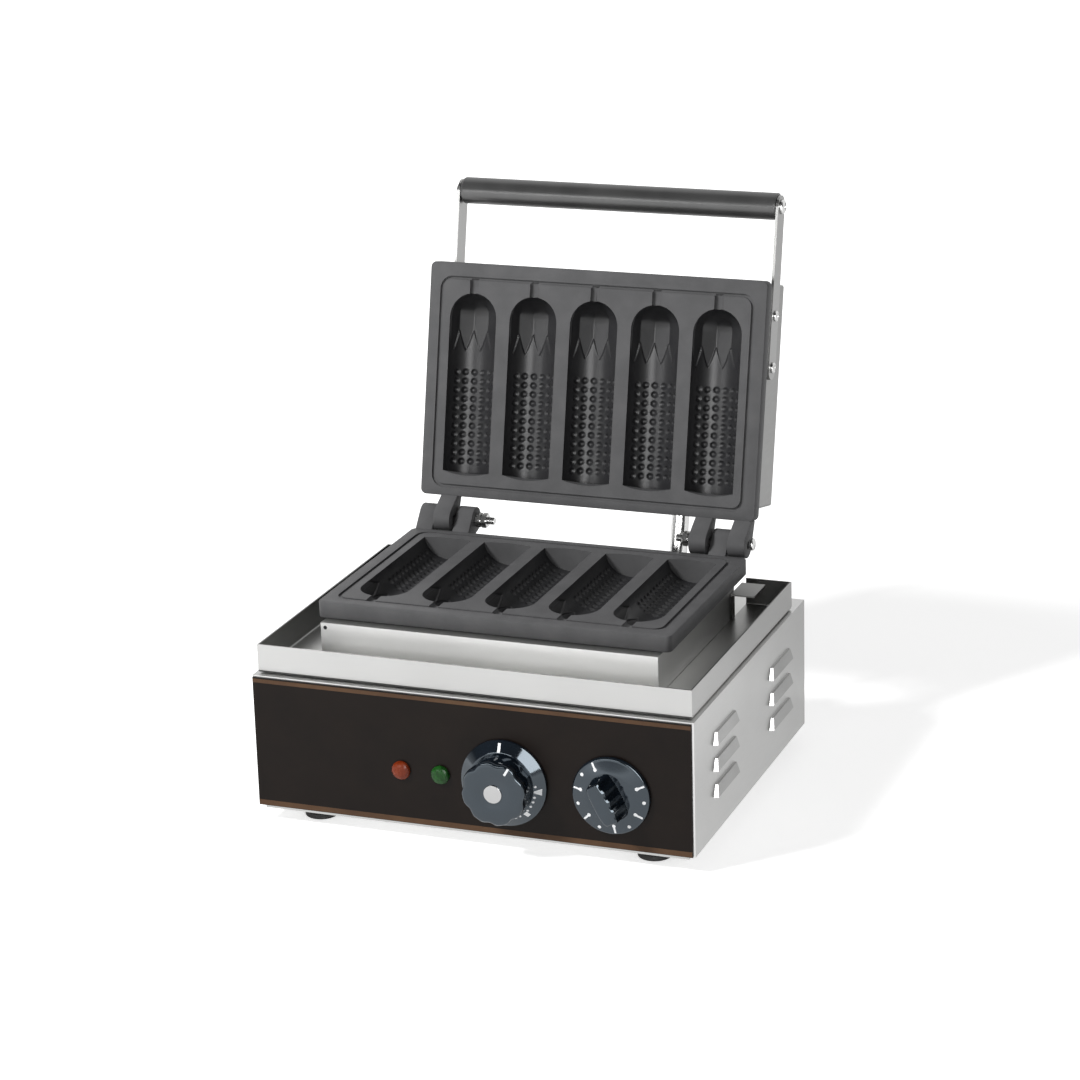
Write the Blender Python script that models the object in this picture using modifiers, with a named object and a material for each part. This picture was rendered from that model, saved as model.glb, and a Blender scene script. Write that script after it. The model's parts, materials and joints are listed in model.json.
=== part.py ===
"""Countertop corn waffle maker: a steel housing with a drip tray, two hinged castings and a grip.

Units are metres. X points right, Y points back and Z points up. The origin is on the surface that
the feet stand on, under the middle of the object as it stands with its lid open.
"""
import math

import bmesh
import bpy
from mathutils import Matrix, Vector

# Clearances and common sheet
fit_gap = 0.0003
hinge_gap = 0.0001
cut_overrun = 0.003
sheet = 0.0015
thin_sheet = 0.0012

# Housing
housing_width = 0.340
housing_depth = 0.272
housing_height = 0.102
housing_flange = 0.012
deck_opening_margin = 0.006
deck_opening_front_margin = 0.014

# Bottom plate and feet
bottom_plate_thickness = 0.002
bottom_plate_inset = 0.005
vent_length = 0.060
vent_width = 0.006
vent_pitch = 0.016
vent_count = 5
foot_height = 0.0105
foot_radius = 0.0127
foot_top_radius = 0.0110
foot_side_inset = 0.039
foot_end_inset = 0.025
foot_recess_radius = 0.0060
foot_recess_depth = 0.0060
foot_screw_radius = 0.0020
foot_screw_head_radius = 0.0042
foot_screw_head_height = 0.0030
foot_screw_reach = 0.0030

# Louvers in the two sides: rows up, columns back
louver_length = 0.054
louver_height = 0.0088
louver_depth = 0.0032
louver_top_depth = 0.0018
louver_hollow_top = -0.0005
louver_end_slope = 0.0016
louver_end_lean = 0.0038
louver_rows = 3
louver_row_pitch = 0.020
louver_lowest = 0.033
louver_first = 0.070
louver_columns = 2

# Front panel
front_plate_thickness = 0.0012
overlay_thickness = 0.0008
overlay_left_margin = 0.0003
overlay_right_margin = 0.0017
overlay_top_margin = 0.0013
control_height = 0.0412

# Pilot lamps
lamp_red_from_side = 0.2235
lamp_green_from_side = 0.1927
lamp_radius = 0.0070
lamp_reach = 0.0042
lamp_body_radius = 0.0050
lamp_body_length = 0.026

# Thermostat with its knob
thermostat_from_side = 0.1430
dial_radius = 0.0328
dial_edge = 0.0022
dial_height = 0.0065
dial_neck_radius = 0.0255
dial_bend_share = 0.5
dial_bend_height_share = 0.6
cap_radius = 0.0242
cap_height = 0.0205
cap_round = 0.0040
knob_lift = 0.0008
shaft_radius = 0.0030
shaft_grip = 0.0080
shaft_hole_gap = 0.0006
thermostat_body_width = 0.046
thermostat_body_height = 0.042
thermostat_body_depth = 0.026
shaft_socket = 0.010

# Timer with its knob
timer_from_side = 0.0615
timer_dial_radius = 0.0292
timer_dial_height = 0.0050
timer_edge_round = 0.0018
timer_bar_length = 0.0350
timer_bar_width = 0.0145
timer_bar_height = 0.0155
timer_bar_round = 0.0020
timer_bar_top_share = 0.75
timer_angle = math.radians(-27.5)
timer_body_width = 0.050
timer_body_depth = 0.034

# Terminals, mains inlet and thermostat bulb
terminal_length = 0.060
terminal_width = 0.022
terminal_height = 0.018
terminal_from_side = 0.090
terminal_from_back = 0.045
inlet_from_side = 0.060
inlet_height = 0.028
inlet_radius = 0.0080
inlet_collar_radius = 0.0115
inlet_collar_length = 0.0060
inlet_bore_radius = 0.0040
inlet_inner_length = 0.0080
bulb_radius = 0.0030
bulb_length = 0.060
capillary_radius = 0.0010
capillary_drop = 0.014
capillary_points = 8
capillary_bend_points = 6

# Drip tray and the frame that carries the lower casting
tray_side_inset = 0.0027
tray_front_inset = 0.0047
tray_back_inset = 0.0245
tray_height = 0.0220
tray_corner_fold = 0.0022
frame_side_inset = 0.039
frame_front_inset = 0.0385
frame_back_inset = 0.055
frame_height = 0.0310
frame_flange = 0.012
tab_reach = 0.0187
tab_length = 0.0290
tab_height = 0.0210
tab_overhang = 0.0190
tab_leg = 0.0070

# The two castings
plate_side_inset = 0.0325
plate_front_inset = 0.048
plate_back_inset = 0.041
plate_thickness = 0.0125
plate_corner = 0.0045
plate_gap = 0.0006
casting_floor = 0.0070
core_side_inset = 0.0200
core_front_inset = 0.0060
core_back_inset = 0.0160
cavity_count = 5
cavity_land = 0.011
cavity_edge_land = 0.018
cavity_rise = 0.0015
cavity_front_inset = 0.0232
cavity_back_inset = 0.0198
slot_radius = 0.0038
slot_rise = 0.0004
groove_inset_side = 0.0090
groove_inset_front = 0.0105
groove_inset_back = 0.0065
groove_width = 0.0028
groove_depth = 0.0016
groove_corner = 0.0100
boss_radius = 0.0060
boss_side_inset = 0.0080
boss_end_inset = 0.0130

# Heating elements, clamp plates and insulation
element_radius = 0.0040
element_runs = 4
element_end_margin = 0.0050
element_turn_steps = 8
clamp_thickness = 0.0020
clamp_side_inset = 0.0295
clamp_end_inset = 0.0235
lower_mat_thickness = 0.0060
upper_mat_clearance = 0.0049

# Hinge
hinge_setback = 0.0175
hinge_rise = 0.0050
hinge_side_inset = 0.0245
knuckle_radius = 0.0100
knuckle_width = 0.0140
knuckle_gap = 0.0015
lug_root = 0.0004
lug_thickness = 0.0100
pin_radius = 0.0030
pin_head_radius = 0.0048
pin_head_height = 0.0026
pin_tail = 0.0060
nut_radius = 0.0052
nut_height = 0.0045
nut_count = 2
lid_open_angle = math.radians(102.7)

# Lid cover, handle arms and grip
lid_offset = 0.0017
cover_side_inset = 0.0080
cover_front_inset = 0.0040
cover_back_inset = 0.0070
cover_height = 0.0525
cover_corner = 0.0020
arm_thickness = 0.0020
arm_width = 0.0175
arm_end_share = 0.49
arm_rise = 0.0257
arm_screw_inset = 0.0273
arm_screw_spacing = 0.0397
arm_tail = 0.0095
handle_reach = 0.0562
grip_radius = 0.0105
grip_round = 0.0010
arm_screw_radius = 0.0020
arm_screw_head_radius = 0.0042
arm_screw_head_height = 0.0022
arm_screw_reach = 0.0060
grip_screw_radius = 0.0025
grip_screw_head_radius = 0.0056
grip_screw_head_height = 0.0032
grip_screw_reach = 0.0200

# Wiring conduit between the deck and the lid
conduit_side_inset = 0.0670
conduit_radius = 0.0070
conduit_from_back = 0.0105
conduit_lid_height = 0.0130
conduit_collar_radius = 0.0100
conduit_collar_length = 0.0080
collar_tip_share = 0.85
collar_shoulder_share = 0.7
conduit_bow = 0.0070
conduit_ease = 0.0130
conduit_points = 7

# Roundness
fine_sides = 40
round_sides = 24
small_sides = 16
corner_steps = 5
round_profile = 0.5
conduit_detail = 6
dome_step = 30
edge_step = 45
cob_step = 15

# Widths, depths and places that follow from the sizes above
louver_column_pitch = housing_depth / louver_columns
lamp_red_x = housing_width / 2 - lamp_red_from_side
lamp_green_x = housing_width / 2 - lamp_green_from_side
thermostat_x = housing_width / 2 - thermostat_from_side
timer_x = housing_width / 2 - timer_from_side
terminal_x = housing_width / 2 - terminal_from_side
inlet_x = housing_width / 2 - inlet_from_side
frame_width = housing_width - 2 * frame_side_inset
frame_depth = housing_depth - frame_front_inset - frame_back_inset
plate_width = housing_width - 2 * plate_side_inset
plate_depth = housing_depth - plate_front_inset - plate_back_inset
cavities_width = plate_width - 2 * cavity_edge_land
cavity_radius = (cavities_width - (cavity_count - 1) * cavity_land) / (2 * cavity_count)
cavity_pitch = 2 * cavity_radius + cavity_land
cavity_length = plate_depth - cavity_front_inset - cavity_back_inset
core_thickness = cavity_radius - cavity_rise + casting_floor - plate_thickness
clamp_width = plate_width - 2 * clamp_side_inset
clamp_depth = plate_depth - 2 * clamp_end_inset
boss_spacing_x = clamp_width - 2 * boss_side_inset
boss_spacing_y = clamp_depth - 2 * boss_end_inset
element_run_pitch = cavity_pitch
element_run_length = clamp_depth - element_run_pitch - 2 * element_end_margin
hinge_spacing = plate_width - 2 * hinge_side_inset
cover_width = plate_width - 2 * cover_side_inset
cover_depth = plate_depth - cover_front_inset - cover_back_inset
conduit_x = plate_width / 2 - conduit_side_inset
heater_thickness = 2 * element_radius + 4 * fit_gap + clamp_thickness
upper_mat_thickness = (cover_height + fit_gap - thin_sheet - core_thickness - heater_thickness
                       - upper_mat_clearance)

# Levels and stations, measured from the housing's front face
housing_z = foot_height + bottom_plate_thickness + 2 * fit_gap
deck_z = housing_z + housing_height
control_z = housing_z + control_height
frame_top_z = deck_z + fit_gap + frame_height
lower_face_z = frame_top_z + fit_gap + plate_thickness
upper_face_z = lower_face_z + plate_gap
plate_back = plate_front_inset + plate_depth
hinge_y = plate_back + hinge_setback
hinge_z = lower_face_z + hinge_rise
cover_front = plate_front_inset + cover_front_inset
cover_base_z = upper_face_z + plate_thickness + fit_gap
cover_top_z = cover_base_z + cover_height
arm_z = cover_base_z + arm_rise
grip_y = plate_front_inset - handle_reach
panel_face = -(overlay_thickness + fit_gap)
knob_front = panel_face - knob_lift - dial_height - fit_gap - cap_height


def opened_y(y, z):
    """Distance back from the housing's front of a lid point once the lid stands open."""
    return (hinge_y + (y - hinge_y) * math.cos(lid_open_angle)
            + (z - hinge_z) * math.sin(lid_open_angle))


back_reach = max(
    opened_y(cover_front, cover_top_z),
    opened_y(cover_front + cover_depth, cover_top_z),
    opened_y(grip_y, arm_z + grip_radius),
    housing_depth,
)
front_y = -(knob_front + back_reach) / 2

looks = {
    "steel": ((0.62, 0.62, 0.61), 0.34, 1.0),
    "side_steel": ((0.50, 0.50, 0.50), 0.38, 1.0),
    "bright_steel": ((0.78, 0.78, 0.78), 0.22, 1.0),
    "knob": ((0.030, 0.037, 0.045), 0.15, 0.0),
    "casting": ((0.055, 0.055, 0.057), 0.55, 0.2),
    "element": ((0.20, 0.19, 0.18), 0.45, 0.9),
    "panel": ((0.022, 0.014, 0.011), 0.28, 0.0),
    "grip": ((0.018, 0.018, 0.019), 0.25, 0.0),
    "black_plastic": ((0.020, 0.021, 0.024), 0.35, 0.0),
    "rubber": ((0.012, 0.011, 0.010), 0.80, 0.0),
    "red_lens": ((0.60, 0.10, 0.03), 0.30, 0.0),
    "green_lens": ((0.06, 0.28, 0.06), 0.30, 0.0),
    "ceramic": ((0.75, 0.72, 0.66), 0.90, 0.0),
    "fibre": ((0.80, 0.78, 0.72), 0.95, 0.0),
    "copper": ((0.60, 0.32, 0.18), 0.35, 1.0),
}


def clear_scene():
    for item in list(bpy.data.objects):
        bpy.data.objects.remove(item, do_unlink=True)


def new_collection(name):
    collection = bpy.data.collections.new(name)
    bpy.context.scene.collection.children.link(collection)
    return collection


clear_scene()
parts = new_collection("corn_waffle_maker")
cutters = new_collection("cutters")


def finish(name, look):
    """The material of one sub-part."""
    colour, roughness, metallic = looks[look]
    material = bpy.data.materials.new(name + "_finish")
    material.use_nodes = True
    shader = material.node_tree.nodes["Principled BSDF"]
    shader.inputs["Base Color"].default_value = (*colour, 1.0)
    shader.inputs["Roughness"].default_value = roughness
    shader.inputs["Metallic"].default_value = metallic
    material.diffuse_color = (*colour, 1.0)
    return material


def add_empty(name, location, parent=None, rotation=(0.0, 0.0, 0.0)):
    empty = bpy.data.objects.new(name, None)
    parts.objects.link(empty)
    empty.parent = parent
    empty.location = location
    empty.rotation_euler = rotation
    return empty


def place(name, mesh, look, location, parent, rotation=(0.0, 0.0, 0.0)):
    """Make an object of a mesh: a sub-part if it has a look, and otherwise a cutter."""
    item = bpy.data.objects.new(name, mesh)
    item.location = location
    item.rotation_euler = rotation
    item.parent = parent
    if look:
        parts.objects.link(item)
        mesh.materials.append(finish(name, look))
    else:
        cutters.objects.link(item)
        item.hide_render = True
        item.display_type = "WIRE"
    return item


def mesh_from(bm, name):
    bmesh.ops.recalc_face_normals(bm, faces=bm.faces)
    mesh = bpy.data.meshes.new(name)
    bm.to_mesh(mesh)
    bm.free()
    return mesh


def box_mesh(name, size, corner=0.0, bottom_fold=0.0):
    """A box round its own centre, with round upright edges or a folded bottom edge."""
    bm = bmesh.new()
    bmesh.ops.create_cube(bm, size=1.0, matrix=Matrix.Diagonal((*size, 1.0)))
    if corner:
        upright = [e for e in bm.edges if abs(e.verts[0].co.z - e.verts[1].co.z) > size[2] / 2]
        bmesh.ops.bevel(bm, geom=upright, offset=corner, segments=corner_steps,
                        affect="EDGES", profile=round_profile)
    if bottom_fold:
        low = [e for e in bm.edges if max(v.co.z for v in e.verts) < 0]
        bmesh.ops.bevel(bm, geom=low, offset=bottom_fold, segments=2, affect="EDGES",
                        profile=round_profile)
    return mesh_from(bm, name)


def box(name, look, low, high, parent, corner=0.0, bottom_fold=0.0):
    """A box between two corners."""
    low = Vector(low)
    high = Vector(high)
    mesh = box_mesh(name, high - low, corner, bottom_fold)
    return place(name, mesh, look, (low + high) / 2, parent)


def turned(name, look, profile, location, parent, sides, rotation=(0.0, 0.0, 0.0), ring=False):
    """A turned piece: its profile of (radius, height) runs down the outer side.

    The profile stands half a step round, so that no corner lies in a plane through the axis.
    """
    bm = bmesh.new()
    start = math.pi / sides
    points = [bm.verts.new((radius * math.cos(start), radius * math.sin(start), height))
              for radius, height in profile]
    for first, second in zip(points, points[1:]):
        bm.edges.new((first, second))
    if ring:
        bm.edges.new((points[-1], points[0]))
    mesh = bpy.data.meshes.new(name)
    bm.to_mesh(mesh)
    bm.free()
    item = place(name, mesh, look, location, parent, rotation)
    screw = item.modifiers.new("turn", "SCREW")
    screw.axis = "Z"
    screw.steps = sides
    screw.render_steps = sides
    screw.use_merge_vertices = True
    screw.merge_threshold = 0.00001
    screw.use_smooth_shade = True
    return item


def rod(name, look, radius, start, length, parent, axis, sides=round_sides):
    """A plain cylinder from a start point along +X, +Y or +Z."""
    turn = {"X": (0.0, math.pi / 2, 0.0), "Y": (-math.pi / 2, 0.0, 0.0), "Z": (0.0, 0.0, 0.0)}
    profile = [(0.0, length), (radius, length), (radius, 0.0), (0.0, 0.0)]
    return turned(name, look, profile, start, parent, sides, turn[axis])


def apply_boolean(target, tool, operation):
    modifier = target.modifiers.new(tool.name, "BOOLEAN")
    modifier.operation = operation
    modifier.solver = "EXACT"
    modifier.object = tool


def cut(target, tool):
    apply_boolean(target, tool, "DIFFERENCE")


def join(target, tool):
    apply_boolean(target, tool, "UNION")


def tube(name, look, points, radius, parent, radii=None, detail=2):
    """A round tube through points, with closed ends."""
    curve = bpy.data.curves.new(name, "CURVE")
    curve.dimensions = "3D"
    curve.bevel_depth = radius
    curve.bevel_resolution = detail
    curve.use_fill_caps = True
    spline = curve.splines.new("POLY")
    spline.points.add(len(points) - 1)
    for index, point in enumerate(points):
        spline.points[index].co = (*point, 1.0)
        spline.points[index].radius = radii[index] if radii else 1.0
    item = bpy.data.objects.new(name, curve)
    item.parent = parent
    parts.objects.link(item)
    curve.materials.append(finish(name, look))
    return item


def bezier(start, start_pull, end_pull, end, count):
    """Points on a smooth curve between two ends."""
    points = []
    for index in range(count):
        t = index / (count - 1)
        s = 1 - t
        points.append(start * s**3 + start_pull * (3 * s * s * t)
                      + end_pull * (3 * s * t * t) + end * t**3)
    return points


def screw_piece(name, look, start, parent, rotation, head_radius, head_height, radius, reach):
    """A dome-headed screw: its seat is at the start point and its head rises along local Z."""
    shoulder = head_height / 2
    dome = [(head_radius * math.sin(math.radians(a)),
             shoulder + (head_height - shoulder) * math.cos(math.radians(a)))
            for a in range(0, 91, dome_step)]
    profile = dome + [(head_radius, 0.0), (radius, 0.0), (radius, -reach), (0.0, -reach)]
    return turned(name, look, profile, start, parent, small_sides, rotation)


def louver_mesh(name, length, height, depth, top_depth, root):
    """A wedge that leans out of a wall at +X, widest and longest along its lower edge."""
    bm = bmesh.new()
    bmesh.ops.create_cube(bm, size=1.0)
    for vert in bm.verts:
        reach = -root
        if vert.co.x > 0:
            reach = depth if vert.co.z < 0 else top_depth
        half = length / 2 - louver_end_slope * (reach + root) / (depth + root)
        if vert.co.z > 0:
            half -= louver_end_lean
        vert.co = (reach, math.copysign(half, vert.co.y), math.copysign(height / 2, vert.co.z))
    return mesh_from(bm, name)


def add_louvers(shell, base):
    """Pressed louvers, open along their lower edge, in rows and columns on both sides."""
    hood_root = sheet / 2
    slit = louver_height - sheet
    for side in (-1, 1):
        turn = (0.0, 0.0, 0.0) if side > 0 else (0.0, 0.0, math.pi)
        for column in range(louver_columns):
            for row in range(louver_rows):
                tag = f"{'left' if side < 0 else 'right'}_{column}_{row}"
                centre = Vector((
                    side * housing_width / 2,
                    louver_first + column * louver_column_pitch,
                    housing_z + louver_lowest + row * louver_row_pitch,
                ))
                hood = louver_mesh("louver_hood", louver_length, louver_height, louver_depth,
                                   louver_top_depth, hood_root)
                join(shell, place("hood_" + tag, hood, None, centre, base, turn))
                hollow = louver_mesh("louver_hollow", louver_length - 2 * sheet, slit,
                                     louver_depth - sheet / 2, louver_hollow_top,
                                     sheet + cut_overrun)
                lowered = centre - Vector((0.0, 0.0, sheet))
                cut(shell, place("hollow_" + tag, hollow, None, lowered, base, turn))


def foot_places():
    x = housing_width / 2 - foot_side_inset
    back = housing_depth - foot_end_inset
    return {
        "front_left": (-x, foot_end_inset),
        "front_right": (x, foot_end_inset),
        "rear_left": (-x, back),
        "rear_right": (x, back),
    }


def make_housing(base):
    half = housing_width / 2
    shell = box("housing_shell", "side_steel", (-half, 0.0, housing_z),
                (half, housing_depth, deck_z), base)
    cut(shell, box("housing_inside", None,
                   (-half + sheet, -cut_overrun, housing_z + sheet),
                   (half - sheet, housing_depth - sheet, deck_z - sheet), base))
    cut(shell, box("housing_bottom_opening", None,
                   (-half + foot_side_inset + housing_flange, -cut_overrun,
                    housing_z - cut_overrun),
                   (half - foot_side_inset - housing_flange, housing_depth - housing_flange,
                    housing_z + sheet + cut_overrun), base))
    clamp_front = plate_front_inset + (plate_depth - clamp_depth) / 2
    opening_half = clamp_width / 2 + deck_opening_margin
    cut(shell, box("deck_opening", None,
                   (-opening_half, clamp_front - deck_opening_front_margin,
                    deck_z - 2 * sheet),
                   (opening_half, clamp_front + clamp_depth + deck_opening_margin,
                    deck_z + cut_overrun), base))
    cut(shell, rod("inlet_hole", None, inlet_radius + fit_gap,
                   (inlet_x, housing_depth - sheet - cut_overrun, housing_z + inlet_height),
                   sheet + 2 * cut_overrun, base, "Y"))
    cut(shell, rod("conduit_hole", None, conduit_radius + fit_gap,
                   (conduit_x, housing_depth - conduit_from_back, deck_z - sheet - cut_overrun),
                   sheet + 2 * cut_overrun, base, "Z"))
    for tag, (x, y) in foot_places().items():
        cut(shell, rod("flange_hole_" + tag, None, foot_screw_radius + fit_gap,
                       (x, y, housing_z - cut_overrun), sheet + 2 * cut_overrun, base, "Z",
                       small_sides))
    add_louvers(shell, base)
    return shell


def make_bottom(base):
    half = housing_width / 2 - bottom_plate_inset
    top = housing_z - fit_gap
    plate = box("bottom_plate", "steel", (-half, fit_gap, top - bottom_plate_thickness),
                (half, housing_depth - bottom_plate_inset, top), base)
    first = -(vent_count - 1) * vent_pitch / 2
    for index in range(vent_count):
        x = first + index * vent_pitch
        cut(plate, box(f"vent_{index}", None,
                       (x - vent_width / 2, (housing_depth - vent_length) / 2,
                        top - bottom_plate_thickness - cut_overrun),
                       (x + vent_width / 2, (housing_depth + vent_length) / 2,
                        top + cut_overrun), base))
    for tag, (x, y) in foot_places().items():
        cut(plate, rod("plate_hole_" + tag, None, foot_screw_radius + fit_gap,
                       (x, y, top - bottom_plate_thickness - cut_overrun),
                       bottom_plate_thickness + 2 * cut_overrun, base, "Z", small_sides))


def make_feet(base):
    """Four rubber feet, each held by a screw whose head lies in the foot's recess."""
    seat = foot_recess_depth
    through = foot_screw_radius + fit_gap
    for tag, (x, y) in foot_places().items():
        profile = [(through, foot_height), (foot_top_radius, foot_height), (foot_radius, 0.0),
                   (foot_recess_radius, 0.0), (foot_recess_radius, seat), (through, seat)]
        turned("foot_" + tag, "rubber", profile, (x, y, 0.0), base, round_sides, ring=True)
        reach = foot_height - seat + bottom_plate_thickness + sheet + foot_screw_reach
        screw_piece("foot_screw_" + tag, "bright_steel", (x, y, seat - fit_gap), base,
                    (math.pi, 0.0, 0.0), foot_screw_head_radius, foot_screw_head_height,
                    foot_screw_radius, reach)


def make_front(base):
    """The steel front plate and the dark overlay on it, with holes for lamps and shafts."""
    half = housing_width / 2
    plate = box("front_plate", "steel",
                (-half + sheet + fit_gap, 0.0, housing_z + sheet + fit_gap),
                (half - sheet - fit_gap, front_plate_thickness, deck_z - sheet - fit_gap), base)
    overlay = box("panel_overlay", "panel",
                  (-half + overlay_left_margin, panel_face, housing_z),
                  (half - overlay_right_margin, -fit_gap, deck_z - overlay_top_margin), base)
    holes = {
        "red_lamp": (lamp_red_x, lamp_body_radius + fit_gap),
        "green_lamp": (lamp_green_x, lamp_body_radius + fit_gap),
        "thermostat": (thermostat_x, shaft_radius + shaft_hole_gap),
        "timer": (timer_x, shaft_radius + shaft_hole_gap),
    }
    depth = front_plate_thickness - panel_face + 2 * cut_overrun
    for tag, (x, radius) in holes.items():
        hole = rod("hole_" + tag, None, radius, (x, panel_face - cut_overrun, control_z), depth,
                   base, "Y")
        cut(plate, hole)
        cut(overlay, hole)


def make_lamp(colour, x, base):
    facing = (math.pi / 2, 0.0, 0.0)
    dome = [(lamp_radius * math.sin(math.radians(a)),
             lamp_reach * (1 + math.cos(math.radians(a))) / 2) for a in range(0, 91, dome_step)]
    seat = (x, panel_face - fit_gap, control_z)
    turned(colour + "_lamp_lens", colour + "_lens", dome + [(lamp_radius, 0.0), (0.0, 0.0)], seat,
           base, round_sides, facing)
    rod(colour + "_lamp_body", "black_plastic", lamp_body_radius,
        (x, panel_face, control_z), lamp_body_length, base, "Y", small_sides)


def make_shaft(name, pivot, length, front):
    """A control shaft from inside the knob back into its control, along the pivot's axis."""
    rod(name, "bright_steel", shaft_radius, (0.0, front, 0.0), length, pivot, "Y")


def make_thermostat(base):
    pivot = add_empty("thermostat_pivot", (thermostat_x, panel_face - knob_lift, control_z), base)
    facing = (math.pi / 2, 0.0, 0.0)
    bore = shaft_radius + fit_gap
    bend = dial_neck_radius + (dial_radius - dial_neck_radius) * dial_bend_share
    turned("thermostat_dial", "knob",
           [(bore, dial_height), (dial_neck_radius, dial_height),
            (bend, dial_height * dial_bend_height_share), (dial_radius, dial_edge),
            (dial_radius, 0.0), (bore, 0.0)],
           (0.0, 0.0, 0.0), pivot, fine_sides, facing, ring=True)
    edge = [(cap_radius - cap_round + cap_round * math.sin(math.radians(a)),
             cap_height - cap_round + cap_round * math.cos(math.radians(a)))
            for a in range(0, 91, dome_step)]
    turned("thermostat_cap", "knob",
           [(0.0, cap_height)] + edge
           + [(cap_radius, 0.0), (bore, 0.0), (bore, shaft_grip), (0.0, shaft_grip)],
           (0.0, -dial_height - fit_gap, 0.0), pivot, fine_sides, facing)
    front = -dial_height - shaft_grip
    inside = front_plate_thickness - panel_face + knob_lift + fit_gap + shaft_socket
    make_shaft("thermostat_shaft", pivot, inside - front - fit_gap, front)
    back = front_plate_thickness + fit_gap
    half = thermostat_body_width / 2
    body = box("thermostat_body", "black_plastic",
               (thermostat_x - half, back, control_z - thermostat_body_height / 2),
               (thermostat_x + half, back + thermostat_body_depth,
                control_z + thermostat_body_height / 2), base)
    cut(body, rod("thermostat_socket", None, bore, (thermostat_x, back - cut_overrun, control_z),
                  shaft_socket + cut_overrun, base, "Y"))


def make_timer(base):
    pivot = add_empty("timer_pivot", (timer_x, panel_face - knob_lift, control_z), base)
    facing = (math.pi / 2, 0.0, 0.0)
    bore = shaft_radius + fit_gap
    edge = [(timer_dial_radius - timer_edge_round + timer_edge_round * math.sin(math.radians(a)),
             timer_dial_height - timer_edge_round
             + timer_edge_round * math.cos(math.radians(a))) for a in range(0, 91, edge_step)]
    turned("timer_dial", "knob",
           [(bore, timer_dial_height)] + edge
           + [(timer_dial_radius, 0.0), (bore, 0.0)],
           (0.0, 0.0, 0.0), pivot, fine_sides, facing, ring=True)
    bar_mesh = box_mesh("timer_grip", (timer_bar_width, timer_bar_length, timer_bar_height),
                        timer_bar_round)
    for vert in bar_mesh.vertices:
        if vert.co.z > 0:
            vert.co.x *= timer_bar_top_share
    bar_centre = -timer_dial_height - fit_gap - timer_bar_height / 2
    bar = place("timer_grip", bar_mesh, "knob", (0.0, bar_centre, 0.0), pivot,
                (math.pi / 2, timer_angle, 0.0))
    cut(bar, rod("timer_grip_socket", None, bore,
                 (0.0, -timer_dial_height - shaft_grip, 0.0),
                 shaft_grip + cut_overrun, pivot, "Y"))
    front = -timer_dial_height - shaft_grip + fit_gap
    inside = front_plate_thickness - panel_face + knob_lift + fit_gap + shaft_socket
    make_shaft("timer_shaft", pivot, inside - front - fit_gap, front)
    back = front_plate_thickness + fit_gap
    half = timer_body_width / 2
    body = box("timer_body", "black_plastic", (timer_x - half, back, control_z - half),
               (timer_x + half, back + timer_body_depth, control_z + half), base)
    cut(body, rod("timer_socket", None, bore, (timer_x, back - cut_overrun, control_z),
                  shaft_socket + cut_overrun, base, "Y"))


def make_wiring_parts(base):
    """The terminal block on the bottom plate and the mains inlet bush in the back wall."""
    back = housing_depth - terminal_from_back
    floor = housing_z
    box("terminal_block", "ceramic",
        (terminal_x - terminal_length / 2, back - terminal_width, floor),
        (terminal_x + terminal_length / 2, back, floor + terminal_height), base)
    collar_start = inlet_inner_length + sheet
    turned("mains_inlet_bush", "black_plastic",
           [(inlet_bore_radius, collar_start + inlet_collar_length),
            (inlet_radius, collar_start + inlet_collar_length),
            (inlet_collar_radius, collar_start + inlet_collar_length / 2),
            (inlet_collar_radius, collar_start), (inlet_radius, collar_start),
            (inlet_radius, 0.0), (inlet_bore_radius, 0.0)],
           (inlet_x, housing_depth - sheet - inlet_inner_length + fit_gap,
            housing_z + inlet_height), base, round_sides, (-math.pi / 2, 0.0, 0.0), ring=True)


def make_tray(base):
    """A pan that runs round the front and sides of the frame, closed behind at both ends."""
    half = housing_width / 2 - tray_side_inset
    low = deck_z + fit_gap
    top = low + tray_height
    back = housing_depth - tray_back_inset
    tray = box("drip_tray", "steel", (-half, tray_front_inset, low), (half, back, top), base,
               bottom_fold=tray_corner_fold)
    cut(tray, box("tray_inside", None,
                  (-half + thin_sheet, tray_front_inset + thin_sheet, low + thin_sheet),
                  (half - thin_sheet, back - thin_sheet, top + cut_overrun), base,
                  bottom_fold=tray_corner_fold - thin_sheet))
    inner = frame_width / 2 + fit_gap
    cut(tray, box("tray_frame_opening", None,
                  (-inner, frame_front_inset - fit_gap, low - cut_overrun),
                  (inner, back + cut_overrun, top + 2 * cut_overrun), base))


def make_frame(base):
    """The steel frame that stands on the deck and carries the lower casting on its top flange."""
    half = frame_width / 2
    low = deck_z + fit_gap
    back = frame_front_inset + frame_depth
    frame = box("plate_frame", "steel", (-half, frame_front_inset, low),
                (half, back, frame_top_z), base)
    cut(frame, box("frame_inside", None,
                   (-half + thin_sheet, frame_front_inset + thin_sheet, low - cut_overrun),
                   (half - thin_sheet, back - thin_sheet, frame_top_z - thin_sheet), base))
    core_half = plate_width / 2 - core_side_inset + fit_gap
    cut(frame, box("frame_mouth", None,
                   (-core_half, frame_front_inset + frame_flange, frame_top_z - 2 * thin_sheet),
                   (core_half, plate_back - core_back_inset + fit_gap,
                    frame_top_z + cut_overrun), base))
    tab_z = deck_z + tab_height
    leaf_front = back + tab_overhang - tab_length
    for side, tag in ((-1, "left"), (1, "right")):
        inner = side * (half + fit_gap)
        outer = inner + side * tab_reach
        leg = inner + side * thin_sheet
        tab = box("frame_tab_" + tag, "side_steel",
                  (min(inner, outer), leaf_front, tab_z),
                  (max(inner, outer), leaf_front + tab_length, tab_z + thin_sheet), base)
        join(tab, box("tab_leg_" + tag, None,
                      (min(inner, leg), leaf_front, low + thin_sheet + fit_gap),
                      (max(inner, leg), leaf_front + tab_leg, tab_z + thin_sheet / 2), base))


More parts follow.
